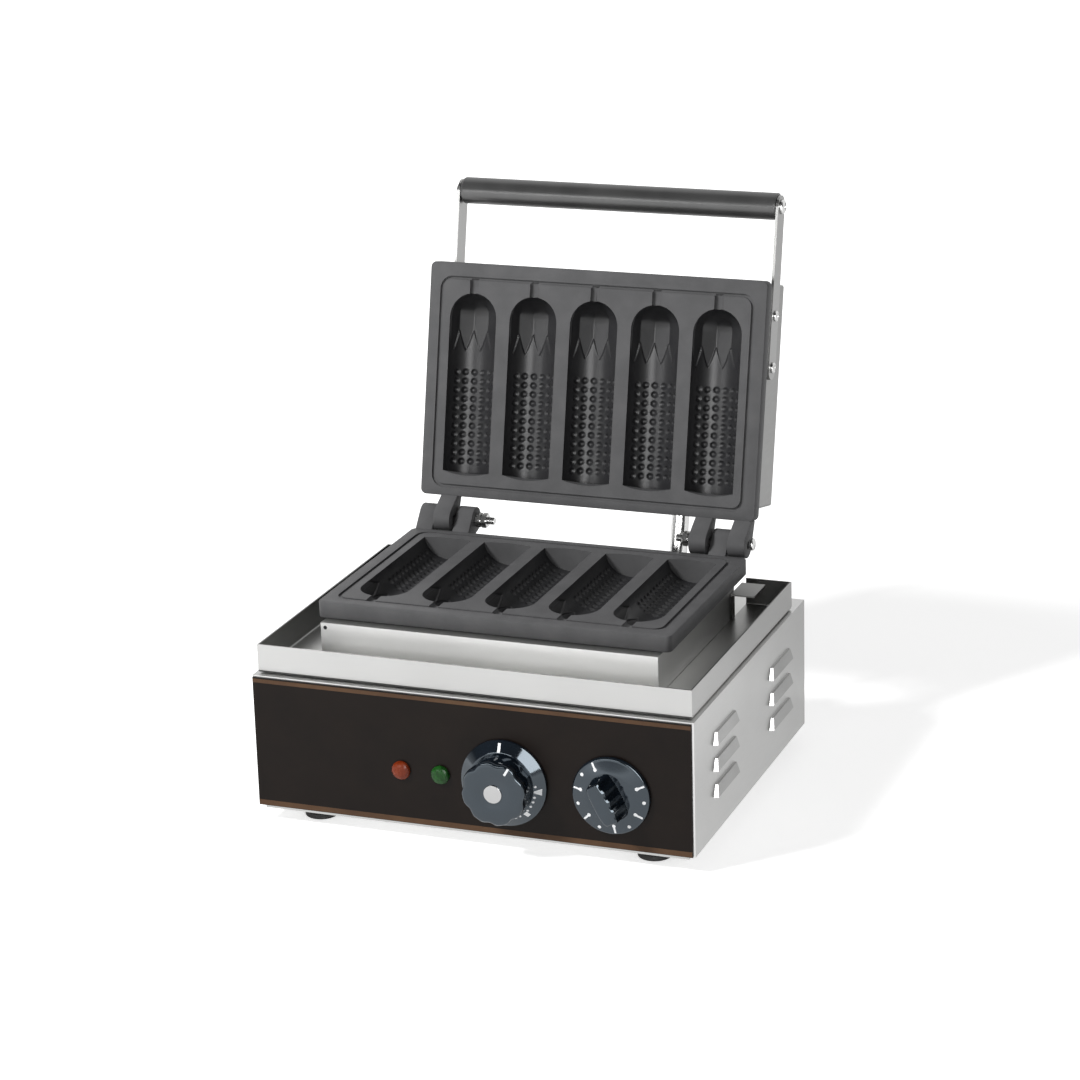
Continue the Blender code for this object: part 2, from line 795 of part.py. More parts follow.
def cavity_profile():
    """Half a corn cob's outline: flat at the hinge end and round at the stick end."""
    straight = cavity_length - cavity_radius
    arc = [(cavity_radius * math.cos(math.radians(a)),
            -straight - cavity_radius * math.sin(math.radians(a)))
           for a in range(0, 91, cob_step)]
    arc[-1] = (0.0, -cavity_length)
    return [(0.0, 0.0), (cavity_radius, 0.0)] + arc


def make_casting(name, parent, up, fork_side):
    """A coated casting, seen from its cooking face.

    The parent's origin is on the hinge axis. up is the Z direction in which the cooking face
    looks, and fork_side the side of the hinge with two knuckles.
    """
    face = -hinge_rise if up > 0 else -hinge_rise + plate_gap
    back = -hinge_setback
    front = back - plate_depth
    half = plate_width / 2
    far = face - up * plate_thickness
    casting = box(name, "casting", (-half, front, min(face, far)), (half, back, max(face, far)),
                  parent, corner=plate_corner)
    core_far = far - up * core_thickness
    core_near = far + up * plate_thickness / 2
    join(casting, box(name + "_core", None,
                      (-half + core_side_inset, front + core_front_inset,
                       min(core_near, core_far)),
                      (half - core_side_inset, back - core_back_inset,
                       max(core_near, core_far)), parent))
    boss_height = 2 * element_radius + 2 * fit_gap
    boss_y = front + core_front_inset + (plate_depth - core_front_inset - core_back_inset) / 2
    for index, (sx, sy) in enumerate(((-1, -1), (1, -1), (-1, 1), (1, 1))):
        start = core_far - (boss_height if up > 0 else plate_thickness / 2)
        join(casting, rod(f"{name}_boss_{index}", None, boss_radius,
                          (sx * boss_spacing_x / 2, boss_y + sy * boss_spacing_y / 2, start),
                          boss_height + plate_thickness / 2, parent, "Z", small_sides))
    add_lugs(casting, name, parent, up, fork_side, face, far)
    cut_cooking_face(casting, name, parent, up, face, front)
    return casting


def cut_cooking_face(casting, name, parent, up, face, front):
    """Five cob cavities, their stick slots and the overflow groove round them."""
    back_end = front + cavity_front_inset + cavity_length
    for index in range(cavity_count):
        x = (index - (cavity_count - 1) / 2) * cavity_pitch
        cavity = turned(f"{name}_cavity_{index}", None, cavity_profile(),
                        (x, back_end, face + up * cavity_rise), parent, fine_sides,
                        (-math.pi / 2, 0.0, 0.0))
        cut(casting, cavity)
        slot_start = front + groove_inset_front + groove_width / 2
        cut(casting, rod(f"{name}_slot_{index}", None, slot_radius,
                         (x, slot_start, face + up * slot_rise),
                         cavity_front_inset + cavity_radius / 2 - groove_inset_front, parent, "Y",
                         small_sides))
    half = plate_width / 2 - groove_inset_side
    groove_front = front + groove_inset_front
    groove_back = front + plate_depth - groove_inset_back
    ring = box(name + "_groove", None, (-half, groove_front, face - groove_depth),
               (half, groove_back, face + groove_depth), parent, corner=groove_corner)
    cut(ring, box(name + "_groove_island", None,
                  (-half + groove_width, groove_front + groove_width, face - 2 * groove_depth),
                  (half - groove_width, groove_back - groove_width, face + 2 * groove_depth),
                  parent, corner=groove_corner - groove_width))
    cut(casting, ring)


def lug_mesh(name, low, high):
    """A knuckle with its neck, in profile: a circle on the axis drawn out to the plate's edge."""
    bm = bmesh.new()
    root = -hinge_setback - lug_root
    for x in (-knuckle_width / 2, knuckle_width / 2):
        for step in range(round_sides):
            angle = 2 * math.pi * step / round_sides
            bm.verts.new((x, knuckle_radius * math.cos(angle), knuckle_radius * math.sin(angle)))
        bm.verts.new((x, root, low))
        bm.verts.new((x, root, high))
    hull = bmesh.ops.convex_hull(bm, input=bm.verts)
    loose = [v for v in hull["geom_interior"] if isinstance(v, bmesh.types.BMVert)]
    bmesh.ops.delete(bm, geom=loose, context="VERTS")
    bmesh.ops.dissolve_limit(bm, angle_limit=math.radians(1), verts=bm.verts, edges=bm.edges)
    return mesh_from(bm, name)


def knuckle_offsets(fork):
    step = knuckle_width + knuckle_gap
    return (-step, step) if fork else (0.0,)


def add_lugs(casting, name, parent, up, fork_side, face, far):
    """A pair of knuckles on one side of the back edge, a single one on the other, and bores."""
    inner = far + up * (plate_thickness - lug_thickness)
    edge_gap = fit_gap * up
    low, high = sorted((inner, face - edge_gap))
    for side in (-1, 1):
        centre = side * hinge_spacing / 2
        for index, offset in enumerate(knuckle_offsets(side == fork_side)):
            mesh = lug_mesh(name + "_lug", low, high)
            tag = f"{name}_lug_{'left' if side < 0 else 'right'}_{index}"
            join(casting, place(tag, mesh, None, (centre + offset, 0.0, 0.0), parent))
        bore_half = 2 * knuckle_width
        cut(casting, rod(f"{name}_bore_{'left' if side < 0 else 'right'}", None,
                         pin_radius + hinge_gap, (centre - bore_half, 0.0, 0.0), 2 * bore_half,
                         parent, "X", fine_sides))


def element_points(level, front):
    """A heating element's route: parallel runs along Y that join in half turns."""
    turn = element_run_pitch / 2
    start_x = -(element_runs - 1) * turn
    near = front + turn
    far = near + element_run_length
    points = [Vector((start_x, far + turn, level))]
    for run in range(element_runs):
        x = start_x + run * element_run_pitch
        going_front = run % 2 == 0
        points.append(Vector((x, near if going_front else far, level)))
        if run < element_runs - 1:
            end_y = near if going_front else far
            bend = -1 if going_front else 1
            for step in range(1, element_turn_steps):
                angle = math.pi * step / element_turn_steps
                points.append(Vector((x + turn - turn * math.cos(angle),
                                      end_y + bend * turn * math.sin(angle), level)))
            points.append(Vector((x + element_run_pitch, end_y, level)))
    points.append(Vector((start_x + (element_runs - 1) * element_run_pitch, far + turn, level)))
    return points


def make_heater(prefix, parent, up, mat_thickness):
    """The element against the casting's back, its clamp plate and the insulation mat."""
    face = -hinge_rise if up > 0 else -hinge_rise + plate_gap
    core_far = face - up * (plate_thickness + core_thickness)
    front = -hinge_setback - plate_depth + (plate_depth - clamp_depth) / 2
    level = core_far - up * (fit_gap + element_radius)
    tube(prefix + "_element", "element", element_points(level, front + element_end_margin),
         element_radius, parent)
    near = core_far - up * (2 * element_radius + 3 * fit_gap)
    far = near - up * clamp_thickness
    half = clamp_width / 2
    box(prefix + "_clamp_plate", "side_steel", (-half, front, min(near, far)),
        (half, front + clamp_depth, max(near, far)), parent)
    mat_near = far - up * fit_gap
    mat_far = mat_near - up * mat_thickness
    box(prefix + "_insulation", "fibre", (-half, front, min(mat_near, mat_far)),
        (half, front + clamp_depth, max(mat_near, mat_far)), parent)
    return level, front


def make_bulb(base, level, front):
    """The thermostat's bulb against the lower casting, with its capillary to the body."""
    deck_level = hinge_z + level
    mouth = hinge_y + front - capillary_drop / 2
    start = Vector((thermostat_x, front_plate_thickness + 2 * fit_gap + thermostat_body_depth,
                    control_z))
    rise = Vector((0.0, mouth, deck_level - capillary_drop))
    points = bezier(start, start + Vector((0.0, capillary_drop, 0.0)),
                    rise - Vector((0.0, 0.0, 2 * capillary_drop)), rise, capillary_points)
    lead = Vector((0.0, mouth + capillary_drop, deck_level))
    points += bezier(rise, rise + Vector((0.0, 0.0, capillary_drop)),
                     lead - Vector((0.0, capillary_drop, 0.0)), lead,
                     capillary_bend_points)[1:]
    thin = capillary_radius / bulb_radius
    radii = [thin] * len(points)
    shoulder = lead + Vector((0.0, bulb_radius, 0.0))
    points += [shoulder, shoulder + Vector((0.0, bulb_length, 0.0))]
    radii += [1.0, 1.0]
    tube("thermostat_bulb", "copper", points, bulb_radius, base, radii)


def make_hinge_pins(hinge):
    """Two hinge bolts, their heads outside and two nuts on each inner end."""
    span = 3 * knuckle_width + 2 * knuckle_gap
    for side, tag in ((-1, "left"), (1, "right")):
        outer = side * (hinge_spacing / 2 + span / 2 + fit_gap)
        length = span + 2 * fit_gap + nut_count * nut_height + pin_tail
        turn = (0.0, side * math.pi / 2, 0.0)
        screw_piece("hinge_pin_" + tag, "bright_steel", (outer, 0.0, 0.0), hinge, turn,
                    pin_head_radius, pin_head_height, pin_radius, length)
        for index in range(nut_count):
            near = outer - side * (span + 2 * fit_gap + index * (nut_height + fit_gap))
            profile = [(pin_radius + hinge_gap, nut_height), (nut_radius, nut_height),
                       (nut_radius, 0.0), (pin_radius + hinge_gap, 0.0)]
            nut = turned(f"hinge_nut_{tag}_{'inner' if index else 'outer'}", "bright_steel",
                         hex_profile(profile), (near, 0.0, 0.0), hinge, small_sides,
                         (0.0, -side * math.pi / 2, 0.0), ring=True)
            trim_to_hexagon(nut, hinge, near, side)


def hex_profile(profile):
    """The nut's blank is turned to the circle through its corners."""
    return [(radius / math.cos(math.pi / 6) if radius == nut_radius else radius, height)
            for radius, height in profile]


def trim_to_hexagon(nut, parent, near, side):
    """Cut the nut's six flats with one hexagonal ring."""
    outer = 2 * nut_radius
    middle = near - side * nut_height / 2
    profile = [(nut_radius, nut_height), (outer, nut_height), (outer, -nut_height),
               (nut_radius, -nut_height)]
    flat = [(radius / math.cos(math.pi / 6), height) for radius, height in profile]
    ring = turned(nut.name + "_flats", None, flat, (middle, 0.0, 0.0), parent, 6,
                  (0.0, -side * math.pi / 2, 0.0), ring=True)
    cut(nut, ring)


def make_cover(mount):
    """The steel cover over the upper casting's heater, open towards the casting."""
    half = cover_width / 2
    low = cover_base_z - hinge_z
    top = cover_top_z - hinge_z
    front = cover_front - hinge_y
    back = front + cover_depth
    cover = box("lid_cover", "side_steel", (-half, front, low), (half, back, top), mount,
                corner=cover_corner)
    cut(cover, box("cover_inside", None,
                   (-half + thin_sheet, front + thin_sheet, low - cut_overrun),
                   (half - thin_sheet, back - thin_sheet, top - thin_sheet), mount))
    cut(cover, rod("cover_conduit_hole", None, conduit_radius + fit_gap,
                   (conduit_x - lid_offset, back - thin_sheet - cut_overrun,
                    low + conduit_lid_height),
                   thin_sheet + 2 * cut_overrun, mount, "Y"))
    for side in (-1, 1):
        for index, y in enumerate(arm_screw_places()):
            cut(cover, rod(f"cover_screw_hole_{side}_{index}", None,
                           arm_screw_radius + fit_gap,
                           (side * half - cut_overrun, y, arm_z - hinge_z),
                           2 * cut_overrun, mount, "X", small_sides))


def arm_screw_places():
    first = plate_front_inset + arm_screw_inset - hinge_y
    return (first, first + arm_screw_spacing)


def make_handle(mount):
    """Two flat arms on the cover's sides, the grip between them and the screws that hold both."""
    level = arm_z - hinge_z
    grip_centre = grip_y - hinge_y
    tail = arm_screw_places()[-1] + arm_tail
    half = cover_width / 2
    inner = half + fit_gap
    outer = inner + arm_thickness
    for side, tag in ((-1, "left"), (1, "right")):
        mesh = box_mesh("handle_arm_" + tag,
                        (arm_width, tail - grip_centre + arm_width / 2, arm_thickness),
                        arm_width * arm_end_share)
        middle = (side * (inner + arm_thickness / 2), (tail + grip_centre - arm_width / 2) / 2,
                  level)
        arm = place("handle_arm_" + tag, mesh, "side_steel", middle, mount,
                    (0.0, math.pi / 2, 0.0))
        turn = (0.0, side * math.pi / 2, 0.0)
        for index, y in enumerate(arm_screw_places()):
            cut(arm, rod(f"arm_hole_{tag}_{index}", None, arm_screw_radius + fit_gap,
                         (side * inner - cut_overrun, y, level), 2 * cut_overrun, mount, "X",
                         small_sides))
            screw_piece(f"arm_screw_{tag}_{'rear' if index else 'front'}", "bright_steel",
                        (side * (outer + fit_gap), y, level), mount, turn, arm_screw_head_radius,
                        arm_screw_head_height, arm_screw_radius, arm_screw_reach)
        cut(arm, rod("arm_grip_hole_" + tag, None, grip_screw_radius + fit_gap,
                     (side * inner - cut_overrun, grip_centre, level), 2 * cut_overrun, mount, "X",
                     small_sides))
        screw_piece("grip_screw_" + tag, "bright_steel",
                    (side * (outer + fit_gap), grip_centre, level), mount, turn,
                    grip_screw_head_radius, grip_screw_head_height, grip_screw_radius,
                    grip_screw_reach)
    bore = grip_screw_radius + fit_gap
    depth = half - grip_screw_reach
    turned("handle_grip", "grip",
           [(0.0, depth), (bore, depth), (bore, half), (grip_radius - grip_round, half),
            (grip_radius, half - grip_round), (grip_radius, -half + grip_round),
            (grip_radius - grip_round, -half), (bore, -half), (bore, -depth), (0.0, -depth)],
           (0.0, grip_centre, level), mount, round_sides, (0.0, math.pi / 2, 0.0))


def make_conduit(base, hinge, lid):
    """The flexible wiring conduit from the deck into the lid, with a collar at each end."""
    deck_y = housing_depth - conduit_from_back
    low = deck_z + fit_gap
    collar = [(conduit_radius + fit_gap, conduit_collar_length),
              (conduit_collar_radius * collar_tip_share, conduit_collar_length),
              (conduit_collar_radius, conduit_collar_length * collar_shoulder_share),
              (conduit_collar_radius, 0.0), (conduit_radius + fit_gap, 0.0)]
    turned("conduit_collar_deck", "bright_steel", collar, (conduit_x, deck_y, low), base,
           round_sides, ring=True)
    face = cover_front + cover_depth - hinge_y + fit_gap
    level = cover_base_z + conduit_lid_height - hinge_z
    turned("conduit_collar_lid", "bright_steel", collar, (conduit_x, face, level), lid,
           round_sides, (-math.pi / 2, 0.0, 0.0), ring=True)
    opened = Matrix.Rotation(-lid_open_angle, 3, "X")
    end = opened @ Vector((conduit_x, face, level))
    inward = opened @ Vector((0.0, -1.0, 0.0))
    start = Vector((conduit_x, deck_y - hinge_y, low - hinge_z))
    lead = conduit_collar_length
    rise = Vector((0.0, 0.0, conduit_ease))
    first = start + Vector((0.0, 0.0, lead))
    last = end - inward * lead
    middle = Vector((conduit_x, first.y + conduit_bow, (first.z + last.z) / 2))
    route = bezier(first, first + rise, middle - rise, middle, conduit_points)
    route += bezier(middle, middle + rise, last - inward * conduit_ease, last,
                    conduit_points)[1:]
    tube("wiring_conduit", "bright_steel", [start] + route + [end], conduit_radius, hinge,
         detail=conduit_detail)


def build():
    base = add_empty("base", (0.0, front_y, 0.0))
    hinge = add_empty("hinge_axis", (0.0, hinge_y, hinge_z), base)
    lid = add_empty("lid_pivot", (0.0, hinge_y, hinge_z), base, (-lid_open_angle, 0.0, 0.0))
    make_housing(base)
    make_bottom(base)
    make_feet(base)
    make_front(base)
    make_lamp("red", lamp_red_x, base)
    make_lamp("green", lamp_green_x, base)
    make_thermostat(base)
    make_timer(base)
    make_wiring_parts(base)
    make_tray(base)
    make_frame(base)
    make_casting("lower_casting", hinge, 1, -1)
    level, front = make_heater("lower", hinge, 1, lower_mat_thickness)
    make_bulb(base, level, front)
    make_hinge_pins(hinge)
    make_casting("upper_casting", lid, -1, 1)
    make_heater("upper", lid, -1, upper_mat_thickness)
    cover_mount = add_empty("cover_mount", (lid_offset, 0.0, 0.0), lid)
    make_cover(cover_mount)
    make_handle(cover_mount)
    make_conduit(base, hinge, lid)


build()
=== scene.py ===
"""Looks of the countertop corn waffle maker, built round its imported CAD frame. Units are metres."""
import json
import math

import bmesh
import bpy
import numpy as np
from mathutils import Matrix, Vector


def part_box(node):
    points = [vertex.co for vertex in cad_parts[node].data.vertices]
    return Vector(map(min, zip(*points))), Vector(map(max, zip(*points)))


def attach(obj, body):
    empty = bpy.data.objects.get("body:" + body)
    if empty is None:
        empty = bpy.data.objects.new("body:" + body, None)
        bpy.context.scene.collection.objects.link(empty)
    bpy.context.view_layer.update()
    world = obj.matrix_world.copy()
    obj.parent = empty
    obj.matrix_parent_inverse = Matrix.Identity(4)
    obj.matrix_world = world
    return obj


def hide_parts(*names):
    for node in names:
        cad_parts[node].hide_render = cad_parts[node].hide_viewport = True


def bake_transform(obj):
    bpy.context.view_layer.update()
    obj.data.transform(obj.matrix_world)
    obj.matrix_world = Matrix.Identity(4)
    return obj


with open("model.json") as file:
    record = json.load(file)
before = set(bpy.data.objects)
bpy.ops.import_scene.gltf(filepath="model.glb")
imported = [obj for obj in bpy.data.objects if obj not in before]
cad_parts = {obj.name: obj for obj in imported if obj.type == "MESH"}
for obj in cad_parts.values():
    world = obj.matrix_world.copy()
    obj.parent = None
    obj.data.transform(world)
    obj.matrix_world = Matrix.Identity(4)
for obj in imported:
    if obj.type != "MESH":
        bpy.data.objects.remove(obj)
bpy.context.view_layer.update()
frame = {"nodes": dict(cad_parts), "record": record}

# Sizes taken over from the CAD source

hinge_point = Vector((0.0, 0.08755, 0.1642))
hinge_rise = 0.0050
hinge_setback = 0.0175
hinge_spacing = 0.226
lid_open_angle = math.radians(102.7)
plate_width = 0.275
plate_depth = 0.183
plate_thickness = 0.0125
plate_corner = 0.0045
plate_gap = 0.0006
core_thickness = 0.0125
cavity_count = 5
cavity_pitch = 0.0500
cavity_radius = 0.0195
cavity_rise = 0.0015
cavity_length = 0.140
cavity_front_inset = 0.0232
slot_radius = 0.0038
slot_rise = 0.0004
groove_width = 0.0028
groove_depth = 0.0016
groove_corner = 0.0100
knuckle_radius = 0.0100
knuckle_width = 0.0140
knuckle_gap = 0.0015
lug_thickness = 0.0100
pin_bore_radius = 0.0031
control_z = 0.0543
panel_face_y = -0.16205
knob_seat_y = -0.16285
thermostat_x = 0.0270
timer_x = 0.1085

# Insets from the plate's sides, front and back
core_insets = (0.0200, 0.0060, 0.0160)
groove_insets = (0.0090, 0.0105, 0.0065)

plate_front = -hinge_setback - plate_depth
cavity_half = math.sqrt(cavity_radius**2 - cavity_rise**2)
cavity_straight = cavity_length - cavity_radius
casting_thickness = plate_thickness + core_thickness


# Finer shape of the castings: relief, moulds and knuckles

plate_edge_round = 0.0009
end_bulge = 0.0030
end_blend = 0.0050
kernel_rows = 11
kernel_first = 0.0068
kernel_pitch = 0.00705
kernel_radius = 0.0028
kernel_depth = 0.0013
kernel_fullness = 1.25
kernel_angles = (-52.0, -31.2, -10.4, 10.4, 31.2, 52.0)
leaf_tip = 0.094
leaf_notch = 0.110
leaf_half_angle = math.radians(16.5)
leaf_depth = 0.0007
leaf_edge = 0.0007
leaf_fade_start = 0.1255
leaf_fade_length = 0.0080
rim_angle = math.radians(85)
rim_fade_angle = math.radians(9)
relief_columns = 120
bend_rows = 49
pocket_above = 0.002
pocket_floor = 0.001
mould_floor_rise = 0.0005
mould_ledge = 0.0022
mould_ledge_back = 0.0005
mould_ledge_drop = 0.0003
lug_overlap = 0.0004
lug_top_drop = 0.0003
lug_edge_round = 0.0007

# Rows of the relief from the hinge end on: where a stretch starts, and the step between its rows
relief_steps = ((0.0, 0.0008), (0.0038, 0.00047), (0.0805, 0.0020), (0.0925, 0.00055))


# Camera, solved from the photograph

camera_target = Vector((0.00073, -0.01095, 0.18682))
camera_distance = 2.47281
camera_azimuth = math.radians(21.254)
camera_elevation = math.radians(18.171)
camera_roll = math.radians(-1.685)
camera_lens_mm = 110.18
camera_sensor_mm = 36.0
camera_near = 0.05
camera_far = 50.0


# Materials

white = (1.0, 1.0, 1.0, 1.0)
brush_scale = 2600.0
brush_stretch = 0.02
brush_depth = 0.00001
brush_strength = 0.15
sheet_cloud = 9.0
light_and_shade_cloud = 14.0
louver_cloud = 30.0

# Where each steel changes tone, mostly painted light and shade: the place where the change starts and
# the place where it ends
frame_front_y = (-0.1222, -0.1212)
frame_back_shade_y = (-0.12, 0.05)
tray_wall_x = (0.1666, 0.1670)
tray_wall_y = (-0.1559, -0.1555)
tray_lit_x = (0.1300, 0.1330)
tray_lit_y = (-0.1240, -0.1200)
tray_floor_z = (0.1165, 0.1180)
tray_back_shade_y = (-0.13, 0.06)
louver_x = (0.17005, 0.17030)
tab_top_z = (-0.0022, -0.0016)
# How dark the painted shade gets at the back, and on the tray's inner walls
back_shade_level = 0.35
tray_wall_shade = 0.40


def srgb(code):
    """A linear colour from a six-digit colour code."""
    values = [int(code[i:i + 2], 16) / 255 for i in (0, 2, 4)]
    return (*(v / 12.92 if v <= 0.04045 else ((v + 0.055) / 1.055) ** 2.4 for v in values), 1.0)


class Graph:
    """Short ways to add nodes to a shader node tree."""

    def __init__(self, tree, place):
        self.tree = tree
        self.place = self.add("TexCoord", place)

    def put(self, node, name, value):
        """Link a node's input to an output, or set its own value."""
        if isinstance(value, bpy.types.NodeSocket):
            self.tree.links.new(value, node.inputs[name])
        else:
            node.inputs[name].default_value = value

    def add(self, kind, output, inputs=None, **settings):
        node = self.tree.nodes.new("ShaderNode" + kind)
        for name, value in settings.items():
            setattr(node, name, value)
        for name, value in (inputs or {}).items():
            self.put(node, name, value)
        return node.outputs[output]

    def part(self, axis):
        return self.add("SeparateXYZ", axis, {"Vector": self.place})

    def math(self, operation, first, second=0.5):
        return self.add("Math", "Value", {0: first, 1: second}, operation=operation)

    def span(self, value, from_low, from_high, to_low, to_high):
        limits = {"From Min": from_low, "From Max": from_high, "To Min": to_low, "To Max": to_high}
        return self.add("MapRange", "Result", {"Value": value, **limits})

    def between(self, share, first, second):
        """A colour between two colours."""
        return self.add("Mix", 2, {0: share, 6: first, 7: second}, data_type="RGBA")

    def seen(self, mirrored):
        """Full for the camera and through glass, and a level of its own in reflections."""
        direct = self.math("MAXIMUM", self.add("LightPath", "Is Camera Ray"),
                           self.add("LightPath", "Is Transmission Ray"))
        glossy = self.math("MULTIPLY", self.add("LightPath", "Is Glossy Ray"), mirrored)
        return self.math("MAXIMUM", direct, glossy)


class Paint(Graph):
    """A procedural material whose noise drives its tone, roughness and bump."""

    def __init__(self, metallic=0.0):
        self.material = bpy.data.materials.new("paint")
        self.material.use_nodes = True
        super().__init__(self.material.node_tree, "Object")
        self.shader = self.tree.nodes["Principled BSDF"]
        self.set(Metallic=metallic)

    def set(self, **values):
        """Set or link inputs of the main shader."""
        for name, value in values.items():
            self.put(self.shader, name.replace("_", " "), value)

    def noise(self, scale, detail=3.0, stretch=(1.0, 1.0, 1.0)):
        place = self.add("Mapping", "Vector", {"Vector": self.place, "Scale": stretch})
        return self.add("TexNoise", "Fac", {"Vector": place, "Scale": scale, "Detail": detail})

    def ramp(self, value, low, high):
        """A noise value, which stays near the middle, spread from low to high."""
        return self.span(value, 0.3, 0.7, low, high)

    def tone(self, value, dark, light):
        """A colour that wavers between two tones."""
        return self.between(self.ramp(value, 0.0, 1.0), srgb(dark), srgb(light))

    def cloud(self, scale, dark, light):
        return self.tone(self.noise(scale, 2.0), dark, light)

    def grain(self, value, rough, depth, strength=0.3):
        """Roughness and bump from one noise value."""
        bump = {"Height": value, "Distance": depth, "Strength": strength}
        self.set(Roughness=self.ramp(value, *rough), Normal=self.add("Bump", "Normal", bump))

    def dim(self, colour, share):
        return self.add("VectorMath", "Vector", {0: colour, "Scale": share}, operation="SCALE")


def brushed(along, rough):
    """Bare metal with fine brushed lines along one axis."""
    paint = Paint(1.0)
    stretch = [brush_stretch if axis == along else 1.0 for axis in "XYZ"]
    paint.grain(paint.noise(brush_scale, 2.0, stretch), rough, brush_depth, brush_strength)
    return paint


def steel_paint(dark, light, along="X", rough=(0.28, 0.36)):
    paint = brushed(along, rough)
    paint.set(Base_Color=paint.cloud(sheet_cloud, dark, light))
    return paint.material


def frame_paint():
    """The heated frame's steel: bright on its front face, with painted shade on the faces behind it
    that deepens towards the back.
    """
    paint = brushed("X", (0.44, 0.52))
    behind = paint.span(paint.part("Y"), *frame_front_y, 0.0, 1.0)
    # Painted shade: the tone behind the front face darkens towards the back.
    deep = paint.span(paint.part("Y"), *frame_back_shade_y, 1.0, back_shade_level)
    bright = paint.cloud(sheet_cloud, "f0f0ef", "f6f6f5")
    shaded_sides = paint.dim(paint.cloud(light_and_shade_cloud, "b4b4b3", "c0c0be"), deep)
    paint.set(Base_Color=paint.between(behind, bright, shaded_sides))
    return paint.material


def tray_paint():
    """The drip tray's steel: bright outside and in a painted lit strip in front, with painted shade
    on the inner walls and towards the back.
    """
    paint = brushed("X", (0.30, 0.38))
    across = paint.math("ABSOLUTE", paint.part("X"))
    inside = paint.math("MULTIPLY", paint.span(across, *tray_wall_x, 1.0, 0.0),
                        paint.span(paint.part("Y"), *tray_wall_y, 0.0, 1.0))
    # Painted light: a strip of floor in front keeps its full brightness.
    lit_strip = paint.math("MULTIPLY", paint.span(across, *tray_lit_x, 1.0, 0.0),
                       paint.span(paint.part("Y"), *tray_lit_y, 1.0, 0.0))
    # Painted shade: the inner walls, and the floor towards the back, are darker.
    upright = paint.span(paint.part("Z"), *tray_floor_z, 1.0, tray_wall_shade)
    deep = paint.span(paint.part("Y"), *tray_back_shade_y, 1.0, back_shade_level)
    share = paint.math("MAXIMUM", lit_strip, paint.math("MULTIPLY", upright, deep))
    outer = paint.cloud(sheet_cloud, "a8a8a7", "afafae")
    inner = paint.dim(paint.cloud(light_and_shade_cloud, "e0e0de", "ececea"), share)
    paint.set(Base_Color=paint.between(inside, outer, inner))
    return paint.material


def tab_paint():
    """The angle tabs' steel: mid grey on top, and painted dark on the flange below as shade under the
    tab.
    """
    paint = brushed("X", (0.34, 0.44))
    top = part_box("frame_tab_right")[1].z
    share = paint.span(paint.part("Z"), top + tab_top_z[0], top + tab_top_z[1], 0.0, 1.0)
    # Painted shade on the flange below the tab's top.
    paint.set(Base_Color=paint.between(share, paint.cloud(light_and_shade_cloud, "303030", "3a3a3a"),
                                       paint.cloud(light_and_shade_cloud, "8c8c8b", "969695")))
    return paint.material


def shell_paint():
    """The housing's steel: the pressed louvers are painted darker than the flat sheet round them, as
    shade on the louvers.
    """
    paint = brushed("Y", (0.28, 0.36))
    pressed = paint.span(paint.math("ABSOLUTE", paint.part("X")), *louver_x, 0.0, 1.0)
    paint.set(Base_Color=paint.between(pressed, paint.cloud(sheet_cloud, "bdbdbc", "c4c4c3"),
                                       paint.cloud(louver_cloud, "9c9c9b", "a6a6a5")))
    return paint.material


def moulded_paint(dark, light, cloud, grain, rough, depth, **settings):
    """A cast or moulded surface: one noise for its tone and one for its roughness and bump."""
    paint = Paint()
    paint.set(Base_Color=paint.tone(paint.noise(*cloud), dark, light), **settings)
    paint.grain(paint.noise(*grain), rough, depth)
    return paint.material


def casting_paint(dark, light, rough=(0.42, 0.58), shine=0.12):
    """Dark non-stick coating on a sand-textured casting."""
    return moulded_paint(dark, light, (60.0, 4.0), (1500.0, 4.0), rough, 0.00012,
                         Specular_IOR_Level=shine)


def plastic_paint(dark, light, rough=(0.10, 0.18), grain_scale=900.0, depth=0.00001,
                  shine=0.5, tint=white):
    """Moulded plastic with a faint flow and grain."""
    return moulded_paint(dark, light, (40.0,), (grain_scale,), rough, depth,
                         Specular_IOR_Level=shine, Specular_Tint=tint)


def lens_paint(dark, light):
    """Translucent pilot lamp plastic."""
    return moulded_paint(dark, light, (260.0,), (260.0,), (0.20, 0.32), 0.0001,
                         Specular_IOR_Level=0.2, Subsurface_Weight=0.25,
                         Subsurface_Radius=(0.004, 0.003, 0.002))


